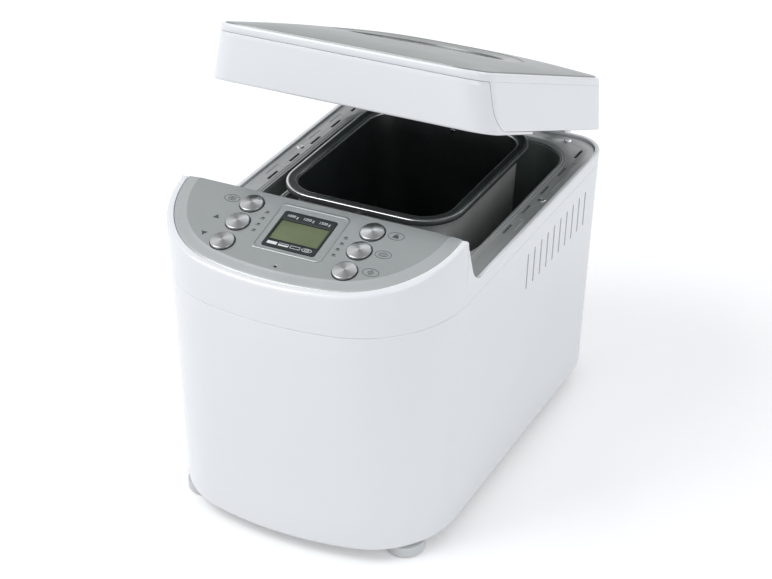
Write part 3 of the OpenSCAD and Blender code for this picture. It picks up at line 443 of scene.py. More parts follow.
BOARD_GREEN = Finish(
    "circuit_board", (0.018, 0.085, 0.045), 0.3, drift=0.15, drift_scale=120.0,
    grain=Grain.CELLS, grain_scale=420.0, relief=0.3, fleck=0.3,
)
MOTOR_STEEL = Finish(
    "motor_steel", (0.34, 0.345, 0.35), 0.34, metallic=0.95, drift=0.06, grain=Grain.BRUSHED_Z,
    grain_scale=900.0, relief=0.15,
)
LID_SATIN = Finish(
    "lid_satin", (0.25, 0.27, 0.265), 0.34, metallic=0.45, coat=0.06, drift=0.03,
    drift_scale=6.0, grain_scale=2600.0, relief=0.08, fleck=0.05,
)
# Window trim: its own silver, made darker as painted shade inside the recessed dish.
TRIM_SILVER_WITH_PAINTED_SHADE = Finish(
    "trim_silver", (0.165, 0.18, 0.175), 0.26, metallic=0.6, coat=0.1, drift=0.03,
    grain_scale=2400.0, relief=0.06,
)
WINDOW_GLASS = Glass(
    "window_glass", (0.34, 0.39, 0.385), 0.05, drift=0.01, rough_drift=0.02, grain_scale=60.0,
    relief=0.01, specular=1.0, coat=0.8, veil=0.68,
)
FLOOR_MATT = Lifted(
    "floor_matt", (0.86, 0.86, 0.865), 0.75, drift=0.006, drift_scale=2.0, grain_scale=300.0,
    relief=0.02, specular=0.1,
)


# ---------------------------------------------------------------------------
# The CAD nodes that stay in view, and their finishes
# ---------------------------------------------------------------------------

CAD_FINISHES: dict[Finish, tuple[str, ...]] = {
    WHITE_GLOSS: ("main_housing", "top_housing", "lid_frame", "lid_front_panel", "lid_arms"),
    PALE_MATT: ("base_plate", "hinge_brackets"),
    FOOT_PLASTIC: ("feet",),
    FASCIA_SILVER: ("control_fascia",),
    DISPLAY_BLACK: ("display_frame", "display_module"),
    LCD_GREEN: ("display_window",),
    BOARD_GREEN: ("control_board", "power_board"),
    SCREW_STEEL: (
        "foot_screws", "fascia_screws", "frame_screws", "heater_clips", "pan_springs",
        "liner_screws", "handle_pivots", "handle_bail",
    ),
    FRAME_STEEL: ("chamber_frame", "motor_bracket"),
    CHAMBER_STEEL: ("baking_chamber", "lid_liner"),
    HEATER_SHEATH: ("heater_element",),
    TURNED_STEEL: (
        "temperature_sensor", "drive_shaft", "motor_shaft", "hinge_pins", "pan_shaft",
    ),
    DARK_METAL: ("drive_bearing", "drive_dog", "pan_bearing"),
    BLACK_PLASTIC: ("large_pulley", "motor_pulley", "cable_gland", "handle_grip"),
    BELT_RUBBER: ("drive_belt",),
    MOTOR_STEEL: ("motor",),
    LID_SATIN: ("lid_cap",),
    TRIM_SILVER_WITH_PAINTED_SHADE: ("window_trim",),
    WINDOW_GLASS: ("window_glass",),
    PAN_OUTSIDE: ("pan", "pan_base_ring"),
    PAN_INSIDE: ("kneading_paddle",),
}
BUTTONS = ("select", "raise", "lower", "weight", "crust", "start")


def dress_cad_nodes() -> None:
    """Give every CAD node its procedural finish."""
    finishes = dict(CAD_FINISHES)
    finishes[BUTTON_METAL] = tuple(f"{name}_button" for name in BUTTONS)
    for finish, names in finishes.items():
        for name in names:
            paint_all(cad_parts[name].data, finish)
            log.info("dressed %s in %s", name, finish.name)


def paint_all(mesh: bpy.types.Mesh, finish: Finish) -> None:
    """Give every face of a mesh one finish."""
    mesh.materials.clear()
    mesh.materials.append(finish.material())
    mesh.polygons.foreach_set("material_index", [0] * len(mesh.polygons))


# ---------------------------------------------------------------------------
# Mesh making
# ---------------------------------------------------------------------------


def arc_points(
    centre: Sequence[float], radius: float, start: float, end: float, count: int
) -> Points:
    """Points along an arc.

    Args:
        centre: Centre in the arc's plane.
        radius: Radius.
        start: First angle in degrees.
        end: Last angle in degrees.
        count: Number of steps.

    Returns:
        An array of count + 1 points.
    """
    angles = np.radians(np.linspace(start, end, count + 1))
    return np.stack(
        [centre[0] + radius * np.cos(angles), centre[1] + radius * np.sin(angles)], axis=1
    )


def quarter(count: int) -> list[float]:
    """Even steps through a quarter turn in radians, the start left out."""
    return [step / count * math.pi / 2 for step in range(1, count + 1)]


def raised(outline: Points, height: float) -> Points:
    """A flat outline lifted to a height."""
    return np.column_stack([outline, np.full(len(outline), float(height))])


def spans(start: float, *stretches: tuple[float, int]) -> list[float]:
    """Evenly spaced values along stretches that follow each other.

    Args:
        start: The first value.
        *stretches: End of each stretch and its number of values, both ends counted.

    Returns:
        The values, with no end doubled.
    """
    values = [start]
    for end, count in stretches:
        values += list(np.linspace(start, end, count)[1:])
        start = end
    return values


def rounded_plan(
    width: float, depth: float, radius: float, centre: Sequence[float], count: int = 12
) -> Points:
    """A rounded rectangle, counter-clockwise seen from above.

    Args:
        width: Size across.
        depth: Size from front to rear.
        radius: Radius of the corners.
        centre: Middle of the rectangle.
        count: Steps in each corner.

    Returns:
        The outline's points.
    """
    w, d = width / 2 - radius, depth / 2 - radius
    x, y = centre[0], centre[1]
    return np.concatenate(
        [
            arc_points((x + w, y - d), radius, -90, 0, count),
            arc_points((x + w, y + d), radius, 0, 90, count),
            arc_points((x - w, y + d), radius, 90, 180, count),
            arc_points((x - w, y - d), radius, 180, 270, count),
        ]
    )


class Shape:
    """Gathers closed parts in millimetres and turns them into one finished piece."""

    def __init__(self, name: str) -> None:
        """Start an empty shape.

        Args:
            name: Name of the piece.
        """
        self.name = name
        self.points: list[Points] = []
        self.faces: list[tuple[int, ...]] = []
        self.looks: list[int] = []
        self.count = 0

    def add(self, points: Points, faces: Iterable[Sequence[int]], look: int = 0) -> "Shape":
        """Add points and the faces between them.

        Args:
            points: Array of places.
            faces: Faces by index into points.
            look: Index of the material.

        Returns:
            The shape itself.
        """
        array = np.asarray(points, dtype=float).reshape(-1, 3)
        before = len(self.faces)
        self.faces.extend(tuple(int(i) + self.count for i in face) for face in faces)
        self.looks.extend([look] * (len(self.faces) - before))
        self.points.append(array)
        self.count += len(array)
        return self

    def rings(
        self,
        rings: Sequence[Points],
        closed: bool = False,
        caps: tuple[bool, bool] = (True, True),
        look: int = 0,
    ) -> "Shape":
        """Join rings of equal length, each a closed loop.

        Args:
            rings: The loops in order.
            closed: Join the last ring to the first.
            caps: Close the first and the last ring with a face, when not closed.
            look: Index of the material.

        Returns:
            The shape itself.
        """
        size = len(rings[0])
        last = len(rings)
        faces: list[tuple[int, ...]] = []
        for k in range(last if closed else last - 1):
            here, there = k * size, ((k + 1) % last) * size
            for i in range(size):
                j = (i + 1) % size
                faces.append((here + i, here + j, there + j, there + i))
        if not closed and caps[0]:
            faces.append(tuple(range(size - 1, -1, -1)))
        if not closed and caps[1]:
            faces.append(tuple((last - 1) * size + i for i in range(size)))
        return self.add(np.concatenate(rings), faces, look)

    def slab(self, outer: Points, inner: Points) -> "Shape":
        """A closed sheet between two grids of the same size.

        Args:
            outer: Grid of places, rows by columns by 3.
            inner: The grid on the other side.

        Returns:
            The shape itself.
        """
        rows, cols = outer.shape[:2]
        step = rows * cols
        faces: list[tuple[int, ...]] = []
        for r in range(rows - 1):
            for c in range(cols - 1):
                a = r * cols + c
                faces.append((a, a + 1, a + cols + 1, a + cols))
                b = a + step
                faces.append((b, b + cols, b + cols + 1, b + 1))
        rim = list(range(cols))
        rim += [r * cols + cols - 1 for r in range(1, rows)]
        rim += [(rows - 1) * cols + c for c in range(cols - 2, -1, -1)]
        rim += [r * cols for r in range(rows - 2, 0, -1)]
        for i, a in enumerate(rim):
            b = rim[(i + 1) % len(rim)]
            faces.append((b, a, a + step, b + step))
        return self.add(np.concatenate([outer.reshape(-1, 3), inner.reshape(-1, 3)]), faces)

    def lathe(
        self, profile: Sequence[Sequence[float]], frame_of: Matrix, count: int = 48
    ) -> "Shape":
        """Turn a profile about an axis.

        Args:
            profile: Points [radius, height] from one end of the axis to the other.
            frame_of: Places the turned shape; its third column is the axis.
            count: Steps round the axis.

        Returns:
            The shape itself.
        """
        angles = np.linspace(0, 2 * math.pi, count, endpoint=False)
        rings = []
        for radius, height in profile:
            ring = np.stack(
                [radius * np.cos(angles), radius * np.sin(angles), np.full(count, height)], axis=1
            )
            rings.append(moved(ring, frame_of))
        return self.rings(rings)

    def tube(self, path: Points, radius: float, count: int = 16) -> "Shape":
        """A round bar along a path.

        Args:
            path: Places along the bar's middle.
            radius: The bar's radius.
            count: Steps round the bar.

        Returns:
            The shape itself.
        """
        rings = []
        side = np.array([0.0, 0.0, 1.0])
        for i, place in enumerate(path):
            ahead = path[min(i + 1, len(path) - 1)] - path[max(i - 1, 0)]
            ahead = ahead / np.linalg.norm(ahead)
            across = np.cross(side, ahead)
            if np.linalg.norm(across) < 0.05:
                across = np.cross(np.array([0.0, 1.0, 0.0]), ahead)
            across /= np.linalg.norm(across)
            up = np.cross(ahead, across)
            angles = np.linspace(0, 2 * math.pi, count, endpoint=False)
            rings.append(
                place + radius * (np.outer(np.cos(angles), across) + np.outer(np.sin(angles), up))
            )
        return self.rings(rings)

    def build(
        self, *finishes: Finish, crease: float = SHADE_ANGLE, weld: float = 1e-4
    ) -> bpy.types.Object:
        """Make the object, with faces outwards and edges smooth up to an angle.

        Args:
            *finishes: Finish of each look index.
            crease: Angle in degrees above which an edge stays sharp.
            weld: Distance in millimetres below which points merge.

        Returns:
            The finished mesh object.
        """
        mesh = bpy.data.meshes.new(self.name)
        points = np.concatenate(self.points) * MM
        mesh.from_pydata(points.tolist(), [], self.faces)
        for finish in finishes:
            mesh.materials.append(finish.material())
        mesh.polygons.foreach_set("material_index", self.looks)
        tidy_mesh(mesh, crease, weld * MM)
        return linked(self.name, mesh)


def moved(points: Points, matrix: Matrix) -> Points:
    """Points carried by a matrix."""
    array = np.array(matrix)
    return points @ array[:3, :3].T + array[:3, 3]


@contextmanager
def edited(mesh: bpy.types.Mesh) -> Iterator[bmesh.types.BMesh]:
    """Open a mesh for editing and write it back.

    Args:
        mesh: The mesh.

    Yields:
        Its editable form.
    """
    work = bmesh.new()
    work.from_mesh(mesh)
    yield work
    work.to_mesh(mesh)
    work.free()


def tidy_mesh(mesh: bpy.types.Mesh, crease: float, weld: float) -> None:
    """Merge doubles, turn faces outwards and mark sharp edges.

    Args:
        mesh: The mesh to tidy.
        crease: Angle in degrees above which an edge stays sharp.
        weld: Distance in metres below which points merge.
    """
    with edited(mesh) as work:
        bmesh.ops.remove_doubles(work, verts=work.verts, dist=weld)
        bmesh.ops.recalc_face_normals(work, faces=work.faces)
        mark_creases(work, crease)


def mark_creases(work: bmesh.types.BMesh, crease: float) -> None:
    """Shade faces smooth and keep edges above an angle sharp."""
    limit = math.radians(crease)
    for face in work.faces:
        face.smooth = True
    for edge in work.edges:
        edge.smooth = len(edge.link_faces) == 2 and edge.calc_face_angle(0.0) < limit


def linked(name: str, data: bpy.types.ID) -> bpy.types.Object:
    """A mesh, a curve, a camera or a light as an object in the scene."""
    piece = bpy.data.objects.new(name, data)
    bpy.context.scene.collection.objects.link(piece)
    return piece


def settle(piece: bpy.types.Object, crease: float = SHADE_ANGLE) -> bpy.types.Object:
    """Apply a piece's modifiers to its mesh.

    Args:
        piece: The object with modifiers.
        crease: Angle in degrees above which an edge stays sharp.

    Returns:
        The same object with a plain mesh.
    """
    graph = bpy.context.evaluated_depsgraph_get()
    graph.update()
    mesh = bpy.data.meshes.new_from_object(piece.evaluated_get(graph), depsgraph=graph)
    piece.modifiers.clear()
    piece.data = mesh
    with edited(mesh) as work:
        mark_creases(work, crease)
    return piece


def softened(
    name: str, node: str, finish: Finish, width: float, segments: int
) -> bpy.types.Object:
    """A copy of a CAD node with rounded edges.

    Args:
        name: Name of the new piece.
        node: The CAD node that it copies.
        finish: Its finish.
        width: Width of the rounding in millimetres.
        segments: Steps of the rounding.

    Returns:
        The finished object.
    """
    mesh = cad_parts[node].data.copy()
    mesh.name = name
    mesh.materials.clear()
    mesh.materials.append(finish.material())
    with edited(mesh) as work:
        bmesh.ops.remove_doubles(work, verts=work.verts, dist=1e-6)
        bmesh.ops.dissolve_limit(
            work, angle_limit=math.radians(1.0), verts=work.verts, edges=work.edges
        )
    piece = linked(name, mesh)
    bevel = piece.modifiers.new("round_edges", "BEVEL")
    bevel.width = width * MM
    bevel.segments = segments
    bevel.limit_method = "ANGLE"
    bevel.angle_limit = math.radians(SOFT_ANGLE)
    bevel.use_clamp_overlap = True
    return settle(piece)


def stands_for(piece: bpy.types.Object, body: str, slot: str, *nodes: str) -> bpy.types.Object:
    """Let a piece ride on a body and replace CAD nodes.

    Args:
        piece: The finished piece.
        body: The body that it rides on.
        slot: Not used.
        *nodes: The CAD nodes that it stands for.

    Returns:
        The same piece.
    """
    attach(piece, body)
    if nodes:
        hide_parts(*nodes)
    log.info("built %s on %s with %d faces", piece.name, body, len(piece.data.polygons))
    return piece


def soften_all(*rows: tuple[str, str, Finish, float, int, str, str]) -> None:
    """Soften CAD nodes, each row being name, node, finish, width, segments, body and slot."""
    for name, node, finish, width, segments, body, slot in rows:
        stands_for(softened(name, node, finish, width, segments), body, slot, node)


def cut_away(
    piece: bpy.types.Object, cutter: bpy.types.Object, crease: float = SHADE_ANGLE
) -> None:
    """Cut one object out of another and remove the cutter.

    Args:
        piece: The object that is cut.
        cutter: The closed object taken away.
        crease: Angle in degrees above which an edge stays sharp.
    """
    boolean = piece.modifiers.new("cut", "BOOLEAN")
    boolean.operation = "DIFFERENCE"
    boolean.solver = "EXACT"
    boolean.object = cutter
    settle(piece, crease)
    bpy.data.objects.remove(cutter, do_unlink=True)


# ---------------------------------------------------------------------------
# Geometry Nodes: one small piece set out at many places
# ---------------------------------------------------------------------------


@dataclass
class SetOut:
    """A node tree that sets out one piece at the points of a mesh."""

    name: str
    material: bpy.types.Material
    tree: bpy.types.NodeTree | None = None
    sockets: dict[str, str] = field(default_factory=dict)

    def build_tree(self) -> bpy.types.NodeTree:
        """Build the tree with its named inputs.

        Returns:
            The node tree.
        """
        tree = bpy.data.node_groups.new(self.name, "GeometryNodeTree")
        face = tree.interface
        face.new_socket("Places", in_out="INPUT", socket_type="NodeSocketGeometry")
        for label, kind in (
            ("Piece", "NodeSocketObject"),
            ("Turn", "NodeSocketRotation"),
            ("Size", "NodeSocketFloat"),
        ):
            self.sockets[label] = face.new_socket(
                label, in_out="INPUT", socket_type=kind
            ).identifier
        face.new_socket("Geometry", in_out="OUTPUT", socket_type="NodeSocketGeometry")
        start = tree.nodes.new("NodeGroupInput")
        end = tree.nodes.new("NodeGroupOutput")
        info = tree.nodes.new("GeometryNodeObjectInfo")
        info.transform_space = "ORIGINAL"
        spread = tree.nodes.new("GeometryNodeInstanceOnPoints")
        real = tree.nodes.new("GeometryNodeRealizeInstances")
        coat = tree.nodes.new("GeometryNodeSetMaterial")
        coat.inputs["Material"].default_value = self.material
        link = tree.links.new
        link(start.outputs["Places"], spread.inputs["Points"])
        link(start.outputs["Piece"], info.inputs["Object"])
        link(info.outputs["Geometry"], spread.inputs["Instance"])
        link(start.outputs["Turn"], spread.inputs["Rotation"])
        link(start.outputs["Size"], spread.inputs["Scale"])
        link(spread.outputs["Instances"], real.inputs["Geometry"])
        link(real.outputs["Geometry"], coat.inputs["Geometry"])
        link(coat.outputs["Geometry"], end.inputs["Geometry"])
        self.tree = tree
        return tree

    def run(
        self,
        piece: bpy.types.Object,
        places: Sequence[Sequence[float]],
        turn: Place = (0.0, 0.0, 0.0),
        crease: float = SHADE_ANGLE,
    ) -> bpy.types.Object:
        """Set the piece out and keep the result as a plain mesh.

        Args:
            piece: The small piece, removed afterwards.
            places: Where it goes, in millimetres.
            turn: Its turn in degrees about x, y and z.
            crease: Angle in degrees above which an edge stays sharp.

        Returns:
            One object that holds all of them.
        """
        mesh = bpy.data.meshes.new(self.name)
        mesh.from_pydata([tuple(v * MM for v in place) for place in places], [], [])
        base = linked(self.name, mesh)
        modifier = base.modifiers.new("set_out", "NODES")
        modifier.node_group = self.tree or self.build_tree()
        modifier[self.sockets["Piece"]] = piece
        modifier[self.sockets["Turn"]] = [math.radians(v) for v in turn]
        modifier[self.sockets["Size"]] = 1.0
        settle(base, crease)
        bpy.data.objects.remove(piece, do_unlink=True)
        return base


def screw_head(radius: float, height: float, finish: Finish) -> bpy.types.Object:
    """A domed screw head with a cross recess, at the origin.

    Args:
        radius: Radius of the head in millimetres.
        height: Its height in millimetres.
        finish: Its finish.

    Returns:
        The screw head.
    """
    shape = Shape("screw_head")
    profile = [(0.0, -0.6), (radius, -0.6), (radius, height * 0.35)]
    for t in quarter(6)[:-1]:
        profile.append((radius * math.cos(t), height * (0.35 + 0.65 * math.sin(t))))
    profile.append((0.0, height))
    shape.lathe(profile, Matrix.Identity(4), 28)
    head = shape.build(finish)
    arm, half = radius * 0.62, radius * 0.13
    corners = [(arm, -half), (arm, half), (half, half), (half, arm)]
    plan = np.array([
        (x * math.cos(t) - y * math.sin(t), x * math.sin(t) + y * math.cos(t))
        for t in (0.0, math.pi / 2, math.pi, math.pi * 1.5) for x, y in corners[:3]
    ])
    cutter = Shape("screw_cross")
    cutter.rings([raised(plan * 0.7, height * 0.4), raised(plan, height + 0.4)])
    cut_away(head, cutter.build(finish))
    return head


# ---------------------------------------------------------------------------
# Housing: lower shell, upper shell and the raked wall behind the panel
# ---------------------------------------------------------------------------

PANEL_TILT = math.radians(13.5)
PANEL_SLOPE = math.tan(PANEL_TILT)
Y_PEAK = -105.25
Z_PEAK = 257.0
WALL_RAKE = math.radians(18.0)
FILLET = 20.0
STRIP_Z = 214.0
FOOT_Z = 10.0
SEAM_Z = 203.4


def panel_z(y: float) -> float:
    """Height of the panel's plane."""
    return Z_PEAK + (y - Y_PEAK) * PANEL_SLOPE


def wall_y(z: float) -> float:
    """Place of the raked wall's outer face."""
    return Y_PEAK + (Z_PEAK - z) * math.tan(WALL_RAKE)


def on_panel(x: float, down: float, up: float) -> Vector:
    """A point on the panel, in millimetres.

    Args:
        x: Place across.
        down: Distance down the slope from the panel's rear edge.
        up: Height above the panel's plane.

    Returns:
        The place in the machine's frame.
    """
    c, s = math.cos(PANEL_TILT), math.sin(PANEL_TILT)
    return Vector((x, Y_PEAK - down * c - up * s, Z_PEAK - down * s + up * c))


def panel_frame(x: float, down: float, up: float) -> Matrix:
    """The panel's frame at a point: x across, y up the slope, z off the face."""
    return Matrix.Translation(on_panel(x, down, up)) @ Matrix.Rotation(PANEL_TILT, 4, "X")


class Zone(Enum):
    """Which stretch of the plan outline a station lies on."""

    BOW = 0
    CORNER = 1
    SIDE = 2
    REAR_CORNER = 3
    REAR = 4


@dataclass(frozen=True)
class Station:
    """One place on the right half of the plan outline."""

    zone: Zone
    at: float


@dataclass(frozen=True)
class HousingPlan:
    """The housing's plan: bowed front, large front corners, straight sides, small rear corners."""

    half_width: float = 121.5
    y_front: float = -193.75
    y_rear: float = 174.75
    side_draft: float = 4.7
    front_draft: float = 2.0
    rear_draft: float = 17.0
    bow: float = 271.0
    corner: float = 86.0
    tightens: float = 14.0
    rear_corner: float = 30.0

    def place(self, station: Station, inset: float, z: float) -> tuple[float, float]:
        """Where a station lies at a height.

        Args:
            station: The station.
            inset: Distance in from the outer face.
            z: Height.

        Returns:
            Its x and y.
        """
        k = (STRIP_Z - z) / (STRIP_Z - FOOT_Z)
        w = self.half_width - self.side_draft * k
        front = self.y_front + self.front_draft * k
        rear = self.y_rear - self.rear_draft * k
        corner = self.corner - self.tightens * max(k, 0.0)
        mid_y = front + self.bow
        cx = w - corner
        cy = mid_y - math.sqrt((self.bow - corner) ** 2 - cx * cx)
        turn = math.atan2(cx, mid_y - cy)
        if station.zone is Zone.BOW:
            angle = -math.pi / 2 + turn * station.at
            r = self.bow - inset
            return r * math.cos(angle), mid_y + r * math.sin(angle)
        if station.zone is Zone.CORNER:
            angle = (turn - math.pi / 2) * (1.0 - station.at)
            r = corner - inset
            return cx + r * math.cos(angle), cy + r * math.sin(angle)
        if station.zone is Zone.SIDE:
            y = station.at
            r = corner - inset
            if y < cy:
                return cx + math.sqrt(max(r * r - (y - cy) ** 2, 0.0)), y
            return w - inset, y
        r = self.rear_corner - inset
        if station.zone is Zone.REAR_CORNER:
            angle = station.at * math.pi / 2
            centre = (w - self.rear_corner, rear - self.rear_corner)
            return centre[0] + r * math.cos(angle), centre[1] + r * math.sin(angle)
        return (w - self.rear_corner) * (1.0 - station.at), rear - inset

    def loop(self, stations: Sequence[Station], inset: float, z: float) -> Points:
        """The whole outline at one height, right half then left half.

        Args:
            stations: Stations of the right half, from the front middle to the rear middle.
            inset: Distance in from the outer face.
            z: Height.

        Returns:
            Places of a closed loop.
        """
        half = [self.place(s, inset, z) for s in stations]
        return mirrored(np.array([(x, y, z) for x, y in half]))


def mirrored(half: Points) -> Points:
    """A half outline joined with its mirror image, without doubling the two middle points."""
    other = half[-2:0:-1].copy()
    other[:, 0] *= -1
    return np.concatenate([half, other])


def plain_stations() -> list[Station]:
    """Stations for the lower shell."""
    out = [Station(Zone.BOW, t) for t in np.linspace(0, 1, 19)]
    out += [Station(Zone.CORNER, t) for t in np.linspace(0, 1, 31)[1:]]
    out += [Station(Zone.SIDE, y) for y in np.linspace(-90, 120, 8)]
    out += [Station(Zone.REAR_CORNER, t) for t in np.linspace(0, 1, 17)]
    out += [Station(Zone.REAR, t) for t in (0.33, 0.66, 1.0)]
    return out


@dataclass
class Housing:
    """The white shells, the raked wall and the four feet."""

    plan: HousingPlan = field(default_factory=HousingPlan)
    wall: float = 3.0
    lip: float = 5.5
    rim: float = 4.0
    edge: float = 2.6
    low_edge: float = 1.5
    peak_round: float = 1.6
    seam: float = 0.35
    bottom_round: float = 5.0
    vent_count: int = 10
    vent_first: float = 5.95
    vent_pitch: float = 12.93
    vent_low: float = 158.5
    vent_high: float = 189.5
    vent_width: float = 2.5
    vent_lean: float = 4.0

    def lower_shell(self) -> bpy.types.Object:
        """The drafted lower shell with its rounded foot and the side vents.

        Returns:
            The finished piece.
        """
        stations = plain_stations()
        top, low, r = SEAM_Z - 0.05, FOOT_Z, self.bottom_round
        rows = [(self.wall, top), (self.seam + 0.25, top), (0.08, top - self.seam - 0.1)]
        rows += [(0.0, z) for z in np.linspace(top - 1.0, low + r, 9)]
        rows += [(r - r * math.cos(t), low + r - r * math.sin(t)) for t in quarter(6)]
        rows += [(r + 1.5, low), (r + 1.5, low + 2.0), (self.wall, low + 7.0)]
        rows += [(self.wall, z) for z in np.linspace(low + 20.0, top - 12.0, 4)]
        shape = Shape("lower_shell")
        shape.rings([self.plan.loop(stations, a, z) for a, z in rows], closed=True)
        shell = shape.build(WHITE_GLOSS, crease=50.0)
        cut_away(shell, self.vent_cutters(), crease=50.0)
        return stands_for(shell, "machine", "white_gloss", "main_housing")

    def vent_cutters(self) -> bpy.types.Object:
        """Leaning slot-shaped bars through both side walls.

        Returns:
            The bars as one object.
        """
        half_h = (self.vent_high - self.vent_low) / 2
        r = self.vent_width / 2
        outline = np.concatenate(
            [arc_points((0, half_h - r), r, 0, 180, 6), arc_points((0, r - half_h), r, 180, 360, 6)]
        )
        shape = Shape("vent_bar")
        shape.rings(
            [np.column_stack([np.full(len(outline), x), outline]) for x in (-131.0, 131.0)]
        )
        bar = shape.build(WHITE_GLOSS)
        mid_z = (self.vent_low + self.vent_high) / 2
        places = [
            (0.0, self.vent_first + self.vent_pitch * i, mid_z) for i in range(self.vent_count)
        ]
        bars = SetOut("vent_bars", WHITE_GLOSS.material())
        return bars.run(bar, places, (-self.vent_lean, 0.0, 0.0))

    def side_profile(self) -> list[tuple[float, float, float, float]]:
        """The upper shell's top line from the panel's rear end to the rear corner.

        Returns:
            Points as [y, z, normal y, normal z].
        """
        n_panel = np.array([-math.sin(PANEL_TILT), math.cos(PANEL_TILT)])
        n_wall = np.array([math.cos(WALL_RAKE), math.sin(WALL_RAKE)])
        peak = np.array([Y_PEAK, Z_PEAK])
        r = self.peak_round
        centre = peak + np.linalg.solve(np.array([n_panel, n_wall]), np.array([-r, -r]))
        out: list[tuple[float, float, float, float]] = []
        for angle in np.linspace(103.5, 18.0, 9):
            n = np.array([math.cos(math.radians(angle)), math.sin(math.radians(angle))])
            out.append((*(centre + r * n), *n))
        bend = np.array([wall_y(STRIP_Z + FILLET) + FILLET / math.cos(WALL_RAKE), STRIP_Z + FILLET])
        first = bend - FILLET * n_wall
        top = np.array(out[-1][:2])
        for t in np.linspace(0, 1, 7)[1:-1]:
            out.append((*(top + (first - top) * t), *n_wall))
        for angle in np.linspace(198.0, 270.0, 15):
            n = -np.array([math.cos(math.radians(angle)), math.sin(math.radians(angle))])
            out.append((*(bend - FILLET * n), *n))
        for y in np.linspace(bend[0] + 8, self.plan.y_rear - self.plan.rear_corner, 12):
            out.append((y, STRIP_Z, 0.0, 1.0))
        return out

    def section(self, lip: float, edge: float) -> list[tuple[float, float]]:
        """Cross-section of the collar as [inset, depth] from the foot of the outer edge inwards."""
        rows = [(0.0, edge)]
        rows += [(edge - edge * math.cos(t), edge - edge * math.sin(t)) for t in quarter(5)]
        rows += [(lip - 0.35, 0.0), (lip, 0.35), (lip, 3.6)]
        return rows

    def collar_column(
        self, station: Station, tops: TopLine, lip: float, edge: float
    ) -> Points:
        """One closed cross-section of the collar.

        Args:
            station: Its place on the plan.
            tops: Gives x, y and z for an inset and a depth below the top line.
            lip: Width of the flat lip.
            edge: Radius of the outer edge.

        Returns:
            The section's places, from the seam up and round to the inside of the seam.
        """
        rows = [tops(a, b) for a, b in self.section(lip, edge)]
        foot_y = tops(0.0, 0.0)[1] if station.zone is Zone.SIDE else None

        def low(inset: float, z: float) -> Place:
            """A place under the collar's edge at a height."""
            spot = Station(Zone.SIDE, foot_y) if foot_y is not None else station
            return (*self.plan.place(spot, inset, z), z)

        return np.array(
            [low(self.seam, SEAM_Z), low(0.0, SEAM_Z + self.seam)]
            + rows
            + [low(self.wall, SEAM_Z + 4.5), low(self.wall, SEAM_Z)]
        )

    def upper_shell(self) -> bpy.types.Object:
        """The collar round the panel and the chamber, with the raked wall across it.

        Returns:
            The finished piece.
        """
        plan = self.plan
        columns: list[Points] = []

        def panel_top(station: Station) -> TopLine:
            """Top line on the sloping panel."""

            def find(inset: float, depth: float) -> Place:
                """Follow the panel's plane at this station."""
                z = Z_PEAK
                for _ in range(6):
                    x, y = plan.place(station, inset, z)
                    z = panel_z(y) - depth / math.cos(PANEL_TILT)
                return x, y, z

            return find

        def side_top(y: float, z: float, ny: float, nz: float) -> TopLine:
            """Top line beside the chamber."""

            def find(inset: float, depth: float) -> Place:
                """Go in from the side and down along the line's normal."""
                dy, dz = y - ny * depth, z - nz * depth
                x = plan.place(Station(Zone.SIDE, dy), inset, dz)[0]
                return x, dy, dz

            return find

        def level_top(station: Station) -> TopLine:
            """Top line on the level rim."""

            def find(inset: float, depth: float) -> Place:
                """Stay level."""
                z = STRIP_Z - depth
                return (*plan.place(station, inset, z), z)

            return find

        def run(
            zone: Zone, steps: Iterable[float], top: Callable[[Station], TopLine],
            lip: float, edge: float,
        ) -> None:
            """Add the columns along one stretch of the plan.

            Args:
                zone: The stretch.
                steps: Where the columns stand on it.
                top: Gives the top line at a station.
                lip: Width of the flat lip.
                edge: Radius of the outer edge.
            """
            for t in steps:
                spot = Station(zone, t)
                columns.append(self.collar_column(spot, top(spot), lip, edge))

        run(Zone.BOW, np.linspace(0, 1, 19), panel_top, self.lip, self.edge)
        run(Zone.CORNER, np.linspace(0, 0.965, 36)[1:], panel_top, self.lip, self.edge)
        profile = self.side_profile()
        for i, (y, z, ny, nz) in enumerate(profile):
            t = min(1.0, i / 8)
            lip = self.lip + (self.rim - self.lip) * t
            fall = min(1.0, max(0.0, (240.0 - z) / 24.0))
            edge = self.edge * (0.62 if 0 < i < 9 else 1.0) + (self.low_edge - self.edge) * fall
            edge = max(1.4, edge)
            columns.append(
                self.collar_column(Station(Zone.SIDE, y), side_top(y, z, ny, nz), lip, edge)
            )
        run(Zone.REAR_CORNER, np.linspace(0, 1, 15)[1:], level_top, self.rim, self.low_edge)
        run(Zone.REAR, (0.33, 0.66, 1.0), level_top, self.rim, self.low_edge)
        mirror = [c * MIRROR_X for c in columns[-2:0:-1]]
        shape = Shape("upper_shell")
        shape.rings(columns + mirror, closed=True)
        self.raked_wall(shape)
        shell = shape.build(WHITE_GLOSS, crease=38.0)
        return stands_for(shell, "machine", "white_gloss", "top_housing")

    def raked_wall(self, shape: Shape) -> None:
        """Add the raked wall between the two rims to the upper shell.

        Args:
            shape: The upper shell's shape.
        """
        heights = (SEAM_Z + 5.0, 214.0, 224.0, 236.0, Z_PEAK - 3.2)
        outer, inner = [], []
        for z in heights:
            half = self.plan.place(Station(Zone.SIDE, wall_y(z)), self.rim, z)[0]
            xs = np.linspace(-half, half, 5)
            outer.append([(x, wall_y(z), z) for x in xs])
            inner.append([(x, wall_y(z) - 3.0, z - 0.6) for x in xs])
        shape.slab(np.array(outer), np.array(inner))

